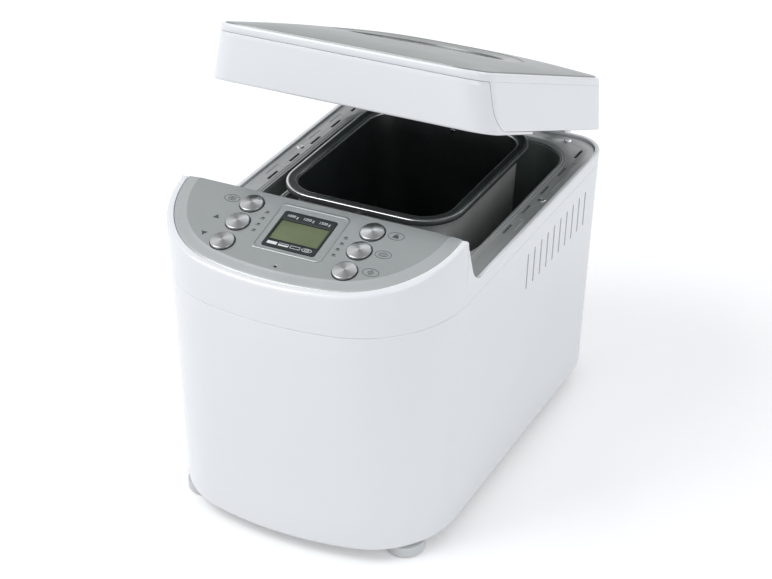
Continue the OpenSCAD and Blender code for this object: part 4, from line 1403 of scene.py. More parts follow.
    def feet(self) -> bpy.types.Object:
        """Four round feet with a soft lower edge.

        Returns:
            The finished piece.
        """
        profile = [(0.0, 0.0), (10.5, 0.0), (11.5, 0.6), (13.0, 0.0)]
        profile += [(13.0 + 3.0 * math.sin(t), 3.0 - 3.0 * math.cos(t)) for t in quarter(5)]
        profile += [(16.0, 6.0), (15.8, 10.0), (0.0, 10.0)]
        shape = Shape("foot")
        shape.lathe(profile, Matrix.Identity(4), 56)
        foot = shape.build(FOOT_PLASTIC)
        places = [(sx * 90.0, y, 0.0) for sx in (-1, 1) for y in (-149.75, 121.75)]
        feet = SetOut("feet_round", FOOT_PLASTIC.material()).run(foot, places)
        return stands_for(feet, "machine", "foot_plastic", "feet")

    def build(self) -> None:
        """Build the shells and the feet."""
        self.lower_shell()
        self.upper_shell()
        self.feet()


# ---------------------------------------------------------------------------
# Control panel
# ---------------------------------------------------------------------------


class Mark(Enum):
    """What is printed beside a button."""

    MENU = "menu"
    WEIGHT = "weight"
    CRUST = "crust"
    START = "start"


ICONS = (
    (Mark.MENU, -69.4, 13.9),
    (Mark.WEIGHT, 69.8, 13.3),
    (Mark.CRUST, 69.7, 34.4),
    (Mark.START, 69.7, 54.5),
)


def panel_plan(width: float, down: float, length: float, radius: float) -> Points:
    """A rounded rectangle on the panel, in the panel's own flat coordinates."""
    return rounded_plan(width, length, radius, (0.0, -down - length / 2), 6)


def on_plate(outline: Points, up: float) -> Points:
    """Lift flat panel coordinates onto the panel."""
    return moved(raised(outline, up), panel_frame(0.0, 0.0, 0.0))


def oval(x: float, down: float, rx: float, ry: float, count: int = 40) -> Points:
    """An oval in flat panel coordinates."""
    a = np.linspace(0, 2 * math.pi, count, endpoint=False)
    return np.stack([x + rx * np.cos(a), -down + ry * np.sin(a)], axis=1)


def bar(x: float, down: float, width: float, length: float) -> Points:
    """A small upright rectangle in flat panel coordinates."""
    w, h = width / 2, length / 2
    return np.array([(-w, -h), (w, -h), (w, h), (-w, h)]) + np.array([x, -down])


@dataclass
class Ink:
    """Thin print on the panel, gathered into one shape."""

    shape: Shape
    up: float
    thick: float = 0.05

    def flat(self, outline: Points) -> None:
        """Print a filled outline."""
        self.shape.rings([on_plate(outline, self.up), on_plate(outline, self.up + self.thick)])

    def line(self, outer: Points, inner: Points) -> None:
        """Print a line between two outlines of equal length.

        Args:
            outer: The line's outer edge.
            inner: Its inner edge.
        """
        top = self.up + self.thick
        rows = ((outer, self.up), (outer, top), (inner, top), (inner, self.up))
        self.shape.rings([on_plate(outline, up) for outline, up in rows], closed=True)

    def ring(
        self, x: float, down: float, outer: tuple[float, float], inner: tuple[float, float],
        count: int = 40,
    ) -> None:
        """Print an oval line between two pairs of radii."""
        self.line(oval(x, down, *outer, count), oval(x, down, *inner, count))


@dataclass
class ControlPanel:
    """The silver plate with its display, its marks and six domed buttons."""

    plan: HousingPlan = field(default_factory=HousingPlan)
    plate_inset: float = 5.75
    plate_depth: float = 2.6
    rear_round: float = 1.2
    rear_strip: float = 0.9
    rear_half: float = 108.0
    level_slack: float = 0.2
    sharp: float = 30.0
    crease: float = 38.0
    band: float = 9.0
    band_facing: tuple[float, float] = (0.8, 0.997)
    plateau: float = 1.0
    button_radius: float = 9.3
    button_proud: float = 2.5
    button_x: float = 51.3
    button_down: Place = (15.0, 36.6, 59.5)
    display_down: float = 13.6
    display_width: float = 45.0
    display_length: float = 40.0
    window_down: float = 23.3
    window_width: float = 41.0
    window_length: float = 21.7
    groove: float = 0.006
    bezel_top: float = 1.75
    scale_down: float = 49.4
    tick_x: float = 35.5
    arrow_x: float = 70.0
    weights_down: float = 19.8
    weights_pitch: float = 13.5
    weights_size: float = 3.6

    def plate_place(self, station: Station, inset: float, up: float) -> Place:
        """A place on the plate at a station of the plan.

        Args:
            station: Its place on the plan.
            inset: Distance in from the housing's outer face.
            up: Height above the panel's plane.

        Returns:
            The place.
        """
        z = Z_PEAK
        x = y = 0.0
        for _ in range(6):
            x, y = self.plan.place(station, inset, z)
            z = panel_z(y) + up / math.cos(PANEL_TILT)
        return x, y, z

    def plate(self) -> bpy.types.Object:
        """The raised plate: groove edge, bevelled band, plateau and rolled rear edge.

        Returns:
            The finished piece.
        """
        rows = [(0.0, -1.8), (0.0, -0.75), (0.12, -0.5), (0.4, -0.34)]
        rows += [(self.band * t, -0.34 + 1.15 * t) for t in (0.25, 0.5, 0.75, 0.96)]
        rows += [(self.band + 0.25, self.plateau - 0.06), (self.band + 0.9, self.plateau)]
        stations = [Station(Zone.BOW, t) for t in np.linspace(0, 1, 25)]
        stations += [Station(Zone.CORNER, t) for t in np.linspace(0, 0.93, 40)[1:]]
        stations += [Station(Zone.CORNER, t) for t in (0.945, 0.955, 0.962)]
        top = [
            np.array([self.plate_place(station, self.plate_inset + a, h) for a, h in rows])
            for station in stations
        ]
        # the rear end follows the raked wall
        limit = []
        for a, h in rows:
            y = Y_PEAK - h * math.tan(WALL_RAKE) * math.cos(PANEL_TILT) - 0.05
            x = self.plan.place(Station(Zone.SIDE, y), self.plate_inset + a, Z_PEAK)[0]
            limit.append((x, y, panel_z(y) + h / math.cos(PANEL_TILT)))
        right = np.array(top + [np.array(limit)])
        left = right[::-1] * MIRROR_X
        ring = np.concatenate([left[:-1], right])
        low = ring[:, 0] - np.array([0.0, 0.0, self.plate_depth])
        shape = Shape("control_plate")
        shape.rings([low, *np.transpose(ring, (1, 0, 2))], caps=(True, False))
        shape.add(*self.fill_plateau(right[:, -1]))
        plate = shape.build(FASCIA_SILVER, crease=self.crease, weld=0.02)
        self.round_rear(plate)
        self.paint_band(plate)
        cut_away(plate, self.button_wells(), crease=self.crease)
        return stands_for(plate, "machine", "fascia_silver", "control_fascia")

    def fill_plateau(self, edge: Points) -> tuple[Points, list[tuple[int, ...]]]:
        """Rows of faces across the plateau, inside its edge.

        Args:
            edge: The right half of the plateau's edge, from the front middle to the rear.

        Returns:
            Points and faces.
        """
        across = 14
        points, faces = [], []
        for i, (x, y, z) in enumerate(edge):
            for t in np.linspace(-1, 1, across + 1):
                points.append((x * t, y, z))
            if i:
                for c in range(across):
                    a = (i - 1) * (across + 1) + c
                    b = a + across + 1
                    faces.append((a, a + 1, b + 1, b) if i > 1 else (a, b + 1, b))
        return np.array(points), faces

    def round_rear(self, plate: bpy.types.Object) -> None:
        """Roll the plate's rear edge over.

        Args:
            plate: The plate.
        """
        with edited(plate.data) as work:
            edges = []
            for edge in work.edges:
                mid = (edge.verts[0].co + edge.verts[1].co) / 2 / MM
                flat = abs(edge.verts[0].co.y - edge.verts[1].co.y) / MM < self.level_slack
                rear = mid.y > Y_PEAK - self.rear_strip and mid.z > Z_PEAK
                if flat and rear and abs(mid.x) < self.rear_half and len(edge.link_faces) == 2:
                    if edge.calc_face_angle(0.0) > math.radians(self.sharp):
                        edges.append(edge)
            bmesh.ops.bevel(
                work, geom=edges, offset=self.rear_round * MM, segments=4, profile=0.5,
                affect="EDGES",
            )
            mark_creases(work, self.crease)

    def paint_band(self, plate: bpy.types.Object) -> None:
        """Give the bevelled band its own finish.

        Args:
            plate: The plate.
        """
        plate.data.materials.append(BAND_SILVER.material())
        tilt = Vector((0.0, -math.sin(PANEL_TILT), math.cos(PANEL_TILT)))
        steep, flat = self.band_facing
        for face in plate.data.polygons:
            if steep < face.normal.dot(tilt) < flat and face.center.y / MM < Y_PEAK - 0.6:
                face.material_index = 1

    def button_wells(self) -> bpy.types.Object:
        """Round cutters for the button holes and the indicator hole.

        Returns:
            The cutters as one object.
        """
        shape = Shape("button_wells")
        hole, lip = self.button_radius + 0.45, self.button_radius + 0.75
        well = [(0.0, -7.0), (hole, -7.0), (hole, 0.75), (lip, 1.03), (lip, 3.0), (0.0, 3.0)]
        for sx in (-1, 1):
            for down in self.button_down:
                shape.lathe(well, panel_frame(sx * self.button_x, down, 0.0), 64)
        shape.lathe(
            [(0.0, -3.5), (1.25, -3.5), (1.25, 0.8), (1.6, 1.02), (1.6, 3.0), (0.0, 3.0)],
            panel_frame(0.0, 71.0, 0.0), 32,
        )
        d, w, length = self.display_down, self.display_width, self.display_length
        well = panel_plan(w - 1.2, d + 0.6, length - 1.2, 2.0)
        shape.rings([on_plate(well, -7.0), on_plate(well, 3.0)])
        return shape.build(FASCIA_SILVER)

    def surround(self) -> bpy.types.Object:
        """The low raised frame round the display.

        Returns:
            The finished piece.
        """
        shape = Shape("display_surround")
        rows = ((0.0, 0.9), (0.0, 1.25), (0.35, 1.55), (2.2, 1.6), (2.5, 1.35), (2.6, 0.9))
        rings = [
            on_plate(panel_plan(60 - 2 * a, 6 + a, 52 - 2 * a, 5 - a * 0.6), h)
            for a, h in rows
        ]
        shape.rings(rings, closed=True)
        piece = shape.build(FASCIA_SILVER, crease=50.0)
        return stands_for(piece, "machine", "fascia_silver")

    def display(self) -> None:
        """The black bezel and the green window set into it."""
        d, w, length = self.display_down, self.display_width, self.display_length
        shape = Shape("display_bezel")
        outer = [(0.0, -3.0), (0.0, 1.2), (0.3, 1.65), (0.7, self.bezel_top)]
        rings = [
            on_plate(panel_plan(w - 2 * a, d + a, length - 2 * a, 2.4 - a), h)
            for a, h in outer
        ]
        ww, wl, wd = self.window_width, self.window_length, self.window_down
        inner = [(-0.4, self.bezel_top), (0.0, 1.5), (0.0, -3.0)]
        rings += [
            on_plate(panel_plan(ww - 2 * a, wd + a, wl - 2 * a, 1.0 + max(0.0, -a)), h)
            for a, h in inner
        ]
        shape.rings(rings, closed=True)
        bezel = shape.build(DISPLAY_BLACK, crease=40.0)
        stands_for(bezel, "machine", "display_black", "display_frame")
        glass = Shape("display_green")
        rings = [
            on_plate(panel_plan(ww - 2 * a, wd + a, wl - 2 * a, 0.9), h)
            for a, h in ((0.05, -3.0), (0.05, 0.55), (0.35, 0.75))
        ]
        glass.rings(rings)
        window = glass.build(LCD_GREEN, crease=40.0)
        stands_for(window, "machine", "display_green", "display_window")

    def icon(self, ink: Ink, mark: Mark, x: float, down: float) -> None:
        """Draw one generic pictogram inside an oval ring.

        Args:
            ink: The print that takes the marks.
            mark: Which pictogram.
            x: Place across.
            down: Place down the slope.
        """
        at = np.array([x, -down])
        ink.ring(x, down, (6.6, 4.1), (6.15, 3.65))
        if mark is Mark.MENU:
            for page in (x - 1.5, x + 1.5):
                ink.line(bar(page, down, 2.8, 4.0), bar(page, down, 2.1, 3.3))
                for row in (-0.8, 0.0, 0.8):
                    ink.flat(bar(page, down + row, 1.3, 0.3))
        elif mark is Mark.WEIGHT:
            ink.flat(np.array([(-2.6, -2.0), (2.6, -2.0), (1.7, 0.9), (-1.7, 0.9)]) + at)
            ink.line(oval(x, down - 1.5, 1.2, 0.9, 20), oval(x, down - 1.5, 0.7, 0.45, 20))
        elif mark is Mark.CRUST:
            ink.ring(x, down, (3.6, 2.0), (3.1, 1.5), 28)
            for side in (-1.4, 0.0, 1.4):
                ink.flat(bar(x + side, down, 0.4, 2.0))
        else:
            diamond = np.array([(2.6, 0.0), (0.0, 2.6), (-2.6, 0.0), (0.0, -2.6)])
            ink.line(diamond + at, diamond * 0.76 + at)
            ink.ring(x, down, (1.0, 1.0), (0.6, 0.6), 20)

    def marks(self) -> None:
        """The marks beside the buttons and the scale on the display's bezel."""
        shape = Shape("panel_marks")
        ink = Ink(shape, self.plateau + 0.005)
        for mark, x, down in ICONS:
            self.icon(ink, mark, x, down)
        for side, downs in ((-1, (20.0, 27.0, 34.0, 41.0)), (1, (27.0, 33.5, 40.0, 46.5))):
            x = side * self.tick_x
            for down in downs:
                ink.flat(bar(x, down + 0.9, 3.6, 0.5))
                ink.flat(oval(x - side * 0.4, down - 0.6, 1.5, 0.85, 16)[::-1])
        rise = np.array([(-2.7, -2.0), (2.7, -2.0), (0.0, 2.2)])
        ink.flat(rise + np.array([-self.arrow_x, -36.0]))
        ink.flat(rise[::-1] * np.array([1.0, -1.0]) + np.array([-self.arrow_x, -56.0]))
        piece = shape.build(PRINT_DARK, crease=20.0, weld=0.001)
        stands_for(piece, "machine", "display_black")
        pale = Shape("display_marks")
        ink = Ink(pale, self.bezel_top + 0.005)
        down = self.scale_down
        for i, fill in enumerate((1.0, 0.5, 0.0)):
            x = -14.6 + 9.7 * i
            ink.line(bar(x, down, 8.2, 2.9), bar(x, down, 7.5, 2.2))
            if fill:
                ink.flat(bar(x, down + 1.1 * (1 - fill), 7.5, 2.2 * fill))
        for rx, ry in ((4.3, 1.9), (2.0, 0.95)):
            ink.ring(14.5, down, (rx, ry), (rx - 0.4, ry - 0.4), 28)
        piece = pale.build(PRINT_PALE, crease=20.0, weld=0.001)
        stands_for(piece, "machine", "display_black")
        self.weights()

    def weights(self) -> None:
        """Loaf weights in grams above the display's window and in front of the bars."""
        work = bmesh.new()
        for i, grams in enumerate(("1000", "1250", "1500")):
            curve = bpy.data.curves.new(f"grams_{grams}", "FONT")
            curve.body = f"{grams} g"
            curve.size = self.weights_size * MM
            curve.align_x = "CENTER"
            curve.extrude = 0.025 * MM
            word = linked(curve.name, curve)
            graph = bpy.context.evaluated_depsgraph_get()
            graph.update()
            mesh = bpy.data.meshes.new_from_object(word.evaluated_get(graph), depsgraph=graph)
            x = self.weights_pitch * (i - 1)
            at = panel_frame(x, self.weights_down, self.bezel_top + 0.04)
            at.translation *= MM
            mesh.transform(at)
            work.from_mesh(mesh)
            bpy.data.objects.remove(word, do_unlink=True)
        bmesh.ops.remove_doubles(work, verts=work.verts, dist=1e-7)
        joined = bpy.data.meshes.new("weight_numbers")
        work.to_mesh(joined)
        work.free()
        paint_all(joined, PRINT_PALE)
        stands_for(linked("weight_numbers", joined), "machine", "display_black")

    def buttons(self) -> None:
        """Six domed metal buttons, each on its own body."""
        r, top = self.button_radius, self.plateau + self.button_proud
        profile = [(0.0, -3.6), (10.4, -3.6), (10.4, -3.3), (r, -3.2), (r, top - 1.5)]
        for t in quarter(4):
            profile.append((r - 0.9 + 0.9 * math.cos(t), top - 1.5 + 0.9 * math.sin(t)))
        for step in range(1, 61):
            t = 1 - step / 60
            groove = self.groove * math.cos(math.pi * step) * min(1.0, 4 * t)
            profile.append(((r - 0.9) * t, top - 0.6 + 0.6 * (1 - t * t) + groove))
        for i, name in enumerate(BUTTONS):
            shape = Shape(f"{name}_button_dome")
            side = -1 if i < 3 else 1
            at = panel_frame(side * self.button_x, self.button_down[i % 3], 0.0)
            shape.lathe(profile, at, 72)
            centre = tuple(at.translation * MM)
            # Each button's material centres its painted reflection wedges on that button.
            metal = replace(BUTTON_METAL, name=f"{name}_spun_metal", centre=centre)
            piece = shape.build(metal, crease=40.0)
            stands_for(piece, f"{name}_button_body", "button_chrome", f"{name}_button")

    def build(self) -> None:
        """Build the plate, the display, the marks and the buttons."""
        self.plate()
        self.surround()
        self.display()
        self.marks()
        self.buttons()


# ---------------------------------------------------------------------------
# Lid
# ---------------------------------------------------------------------------

HINGE_Y = 186.75
HINGE_Z = 220.0
REST_OPENING = math.radians(23.0)


def lid_at_rest(points: Points) -> Points:
    """Turn places of the closed lid to its resting angle."""
    flat = np.asarray(points, dtype=float)
    y, z = flat[..., 1] - HINGE_Y, flat[..., 2] - HINGE_Z
    c, s = math.cos(REST_OPENING), math.sin(REST_OPENING)
    out = flat.copy()
    out[..., 1] = HINGE_Y + y * c + z * s
    out[..., 2] = HINGE_Z - y * s + z * c
    return out


@dataclass
class Lid:
    """The raked white ring, its wrap-round front, the crowned cap and the oval window."""

    half_low: float = 121.5
    half_top: float = 113.0
    front_top: float = -105.0
    rear: float = 166.75
    low: float = 216.5
    top: float = 260.6
    corner: float = 22.0
    rear_corner: float = 26.0
    wall: float = 2.6
    edge: float = 2.4
    band: float = 6.2
    step_y: float = -5.0
    step: float = 2.5
    side_round: float = 17.0
    side_rows: tuple[float, ...] = (0.0, 0.35, 1.0, 2.0, 3.5, 5.5, 8.0, 11.0, 14.0, 17.0)
    crown: float = 8.0
    window_y: float = 36.75
    window_rx: float = 84.0
    window_ry: float = 66.0
    window_depth: float = 3.4
    glass_rx: float = 67.0
    glass_ry: float = 50.0
    rays: int = 192

    def size_at(self, z: float) -> tuple[float, float]:
        """Half width and front place of the lid at a height of the closed lid."""
        k = (z - self.low) / (self.top - self.low)
        half = self.half_low + (self.half_top - self.half_low) * k
        return half, self.front_top + (self.top - z) * math.tan(WALL_RAKE)

    def lengths(self, z: float) -> tuple[float, float, float, float]:
        """Where the plan's stretches end, as distances from the front middle."""
        half, front = self.size_at(z)
        a = half - self.corner
        b = a + self.corner * math.pi / 2
        c = b + (self.rear - self.rear_corner) - (front + self.corner)
        d = c + self.rear_corner * math.pi / 2
        return a, b, c, d

    def plan_end(self, z: float) -> float:
        """Distance along the plan from the front middle to the rear middle."""
        return self.lengths(z)[-1] + self.size_at(z)[0] - self.rear_corner

    def place(self, s: float, inset: float, z: float) -> Place:
        """A place on the lid's wall.

        Args:
            s: Distance along the right half of the outer plan, from the front middle.
            inset: Distance in from the outer face.
            z: Height on the closed lid.

        Returns:
            The place on the closed lid.
        """
        half, front = self.size_at(z)
        a, b, c, d = self.lengths(z)
        if s <= a:
            return s, front + inset, z
        if s <= b:
            t = (s - a) / self.corner - math.pi / 2
            r = self.corner - inset
            return half - self.corner + r * math.cos(t), front + self.corner + r * math.sin(t), z
        if s <= c:
            return half - inset, front + self.corner + (s - b), z
        if s <= d:
            t = (s - c) / self.rear_corner
            r = self.rear_corner - inset
            return (
                half - self.rear_corner + r * math.cos(t),
                self.rear - self.rear_corner + r * math.sin(t), z,
            )
        return max(half - self.rear_corner - (s - d), 0.0), self.rear - inset, z

    def seam_at(self, z: float) -> float:
        """Where the wrap-round front ends at a height, as a distance along the plan."""
        a, b, _, _ = self.lengths(z)
        start = a + (b - a) * 0.80
        foot = self.low + self.step
        if z < foot:
            return b + self.step_y - (self.size_at(z)[1] + self.corner)
        up = z - foot
        r = self.side_round
        if up < r:
            return start + r - math.sqrt(max(r * r - (r - up) ** 2, 0.0))
        return start

    def front(self) -> bpy.types.Object:
        """The wrap-round front under the band, with tails along the sides' lower edge.

        Returns:
            The finished piece.
        """
        set_back = 0.45
        gap = 0.3
        heights = [self.low + 0.9, self.low + 1.6, self.low + self.step - gap]
        foot = self.low + self.step
        heights += [foot + v for v in self.side_rows]
        heights += list(np.linspace(foot + 21.0, self.top - self.band - gap - 0.5, 5))
        ends = [(self.low + 0.25, 0.5), (self.low + 0.02, 1.0)]
        top_ends = [(self.top - self.band - gap, 0.35)]
        outer, inner = [], []

        def row(z: float, extra: float, back: float) -> list[Points]:
            """One row of the front at a height, right half."""
            end = self.seam_at(z) - gap
            a, b, _, _ = self.lengths(z)
            cols = spans(0.0, (a, 9), (min(b, end), 17), (max(b, end), 8))
            return [np.array(self.place(min(s, end), extra + back, z)) for s in cols]

        for z, extra in list(reversed(ends)) + [(z, 0.0) for z in heights] + top_ends:
            outer.append(row(z, extra, set_back))
            inner.append(row(z, 0.0, self.wall - 0.2))
        outside, inside = (
            lid_at_rest(np.concatenate([half[:, :0:-1] * MIRROR_X, half], axis=1))
            for half in (np.array(outer), np.array(inner))
        )
        shape = Shape("lid_front").slab(outside, inside)
        piece = shape.build(WHITE_GLOSS, crease=40.0, weld=0.01)
        return stands_for(piece, "lid", "white_gloss", "lid_front_panel")

    def ring(self) -> bpy.types.Object:
        """The band round the top with the sides and the rear wall.

        Returns:
            The finished piece.
        """
        shape = Shape("lid_ring")
        foot = self.low + self.step
        low_side = [foot + v for v in self.side_rows]
        upper = list(np.linspace(foot + 21.0, self.top - self.band, 5))
        outer, inner = [], []
        for z in low_side + upper:
            begin = self.seam_at(z)
            _, b, c, d = self.lengths(z)
            end = self.plan_end(z)
            cols = spans(begin, (max(begin, b + 4.0), 7), (c, 7), (d, 13), (end, 4))
            edge = 0.8 if z == foot else (0.25 if z == low_side[1] else 0.0)
            outer.append([self.place(s, edge, z) for s in cols])
            inner.append([self.place(s, self.wall, z) for s in cols])
        outside, inside = (
            lid_at_rest(np.concatenate([half[:, :-1], half[:, ::-1] * MIRROR_X], axis=1))
            for half in (np.array(outer), np.array(inner))
        )
        shape.slab(outside, inside)
        loops = []
        for inset, z in self.top_rows():
            a, b, c, d = self.lengths(z)
            cols = spans(0.0, (a, 7), (b, 15), (c, 9), (d, 13), (self.plan_end(z), 4))
            loops.append(lid_at_rest(mirrored(np.array([self.place(s, inset, z) for s in cols]))))
        shape.rings(loops, closed=True)
        piece = shape.build(WHITE_GLOSS, crease=40.0, weld=0.005)
        return stands_for(piece, "lid", "white_gloss", "lid_frame")

    def top_rows(self) -> list[tuple[float, float]]:
        """Cross-section of the band: outer face, rounded top edge, ledge and inside."""
        r = self.edge
        rows = [(0.25, self.top - self.band), (0.0, self.top - self.band + 0.25)]
        rows += [(0.0, self.top - r)]
        rows += [(r - r * math.cos(t), self.top - r + r * math.sin(t)) for t in quarter(6)]
        rows += [(self.wall + 0.25, self.top), (self.wall + 0.35, self.top - 1.2)]
        rows += [(self.wall + 4.0, self.top - 1.6), (self.wall + 4.0, self.top - 4.0)]
        rows += [(self.wall, self.top - self.band)]
        return rows

    def crown_z(self, x: float, y: float) -> float:
        """Height of the crowned cap on the closed lid."""
        half = self.half_top - self.wall
        mid = (self.front_top + self.rear) / 2
        deep = (self.rear - self.front_top) / 2 - self.wall
        u = min(1.0, abs(x) / half)
        v = min(1.0, abs(y - mid) / deep)
        swell = (1 - u ** 3.2) ** 0.8 * (1 - v ** 4.0) ** 0.8
        return self.top + 0.5 + (self.crown - 0.6) * swell

    def cap(self) -> None:
        """The satin cap with its rolled edge and the dish round the window."""
        angles = np.linspace(0, 2 * math.pi, self.rays, endpoint=False)
        outline = self.cap_outline(angles, self.wall + 0.6)
        oval = self.dish(angles, 0.0)
        edge_z = self.top - 0.9
        inner_edge = self.cap_outline(angles, self.wall + 1.6)
        lift = np.array([self.crown_z(*p) for p in inner_edge]) - edge_z
        middle = self.cap_outline(angles, self.wall + 0.85)
        rings = [
            raised(outline, edge_z),
            np.column_stack([outline, edge_z + 0.62 * lift]),
            np.column_stack([middle, edge_z + 0.9 * lift]),
        ]
        for t in (0.0, 0.03, 0.08, 0.16, 0.26, 0.38, 0.5, 0.62, 0.74, 0.84, 0.92, 0.97):
            flat = inner_edge + (oval - inner_edge) * t
            rings.append(np.column_stack([flat, [self.crown_z(*p) for p in flat]]))
        lip_z = np.array([self.crown_z(*p) for p in oval])
        rings.append(np.column_stack([oval, lip_z - 0.05]))
        rings.append(np.column_stack([self.dish(angles, 0.04), lip_z - 0.5]))
        under = [ring - np.array([0.0, 0.0, 1.1]) for ring in (rings[-1], rings[8], rings[0])]
        shape = Shape("lid_cap_sheet")
        shape.rings([lid_at_rest(r) for r in rings + under], closed=True)
        piece = shape.build(LID_SATIN, crease=50.0)
        stands_for(piece, "lid", "lid_satin", "lid_cap")
        self.dish_ring(angles, lip_z)

    def cap_outline(self, angles: Points, inset: float) -> Points:
        """The cap's outline where rays from the window's middle meet it.

        Args:
            angles: The rays' parameters on the window's oval.
            inset: Distance in from the lid's outer edge.

        Returns:
            Flat places.
        """
        cols = np.linspace(0, 1, 721)
        end = self.plan_end(self.top)
        half = np.array([self.place(s * end, inset, self.top)[:2] for s in cols])
        full = np.concatenate([half, half[::-1] * np.array([-1.0, 1.0])])
        rel = full - np.array([0.0, self.window_y])
        heading = np.arctan2(rel[:, 1] / self.window_ry, rel[:, 0] / self.window_rx)
        order = np.argsort(heading)
        want = np.mod(angles + math.pi, 2 * math.pi) - math.pi
        xs = np.interp(want, heading[order], full[order, 0], period=2 * math.pi)
        ys = np.interp(want, heading[order], full[order, 1], period=2 * math.pi)
        return np.stack([xs, ys], axis=1)

    def dish(self, angles: Points, t: float) -> Points:
        """An oval between the dish's rim and the glass."""
        rx = self.window_rx + (self.glass_rx - self.window_rx) * t
        ry = self.window_ry + (self.glass_ry - self.window_ry) * t
        return np.stack([rx * np.cos(angles), self.window_y + ry * np.sin(angles)], axis=1)

    def dish_ring(self, angles: Points, lip_z: Points) -> None:
        """The bright dish that leads down to the glass, and the glass.

        Args:
            angles: Parameters round the oval.
            lip_z: Height of the cap at the dish's rim.
        """
        glass_z = self.top + self.crown - self.window_depth
        rings = []
        steps = 12
        for i in range(steps + 1):
            t = i / steps
            fall = t * t * (3 - 2 * t)
            flat = self.dish(angles, 0.05 + 0.93 * t)
            drop = (glass_z + 0.95 - lip_z) * fall
            rings.append(np.column_stack([flat, lip_z - 0.55 + drop]))
        for t, depth in ((1.0, 0.2), (1.0, 4.0), (0.8, 4.5)):
            rings.append(raised(self.dish(angles, t), glass_z - depth))
        back = self.dish(angles, 0.08)
        rings.append(np.column_stack([back, lip_z - 2.6]))
        shape = Shape("window_dish")
        shape.rings([lid_at_rest(r) for r in rings], closed=True)
        # The dish's finish is darkened as painted shade inside the recess.
        piece = shape.build(TRIM_SILVER_WITH_PAINTED_SHADE, crease=50.0)
        stands_for(piece, "lid", "trim_silver", "window_trim")
        rows = ((1.012, 3.4), (1.0, 3.0), (1.0, 0.6), (1.02, 0.3))
        loops = [raised(self.dish(angles, t), glass_z - depth) for t, depth in rows]
        centre = np.array([0.0, self.window_y])
        reach = self.dish(angles, 1.0) - centre
        for share in (0.75, 0.5, 0.25):
            loops.append(raised(centre + reach * share, glass_z - 0.3 + 0.5 * (1 - share)))
        low = [raised(centre + reach * share, glass_z - 3.4) for share in (0.25, 0.6)]
        pane = Shape("window_pane")
        pane.rings([lid_at_rest(r) for r in low + loops])
        glass = pane.build(WINDOW_GLASS, crease=50.0)
        stands_for(glass, "lid", "window_glass", "window_glass")

    def build(self) -> None:
        """Build the ring, the front, the cap and the window."""
        self.ring()
        self.front()
        self.cap()


# ---------------------------------------------------------------------------
# Chamber and pan
# ---------------------------------------------------------------------------


def plan_row(width: float, depth: float, radius: float, y: float, inset: float, z: float) -> Points:
    """One loop of a rounded plan, moved in by inset, at a height."""
    corner = max(radius - inset, 1.0)
    plan = rounded_plan(width - 2 * inset, depth - 2 * inset, corner, (0.0, y), 10)
    return raised(plan, z)


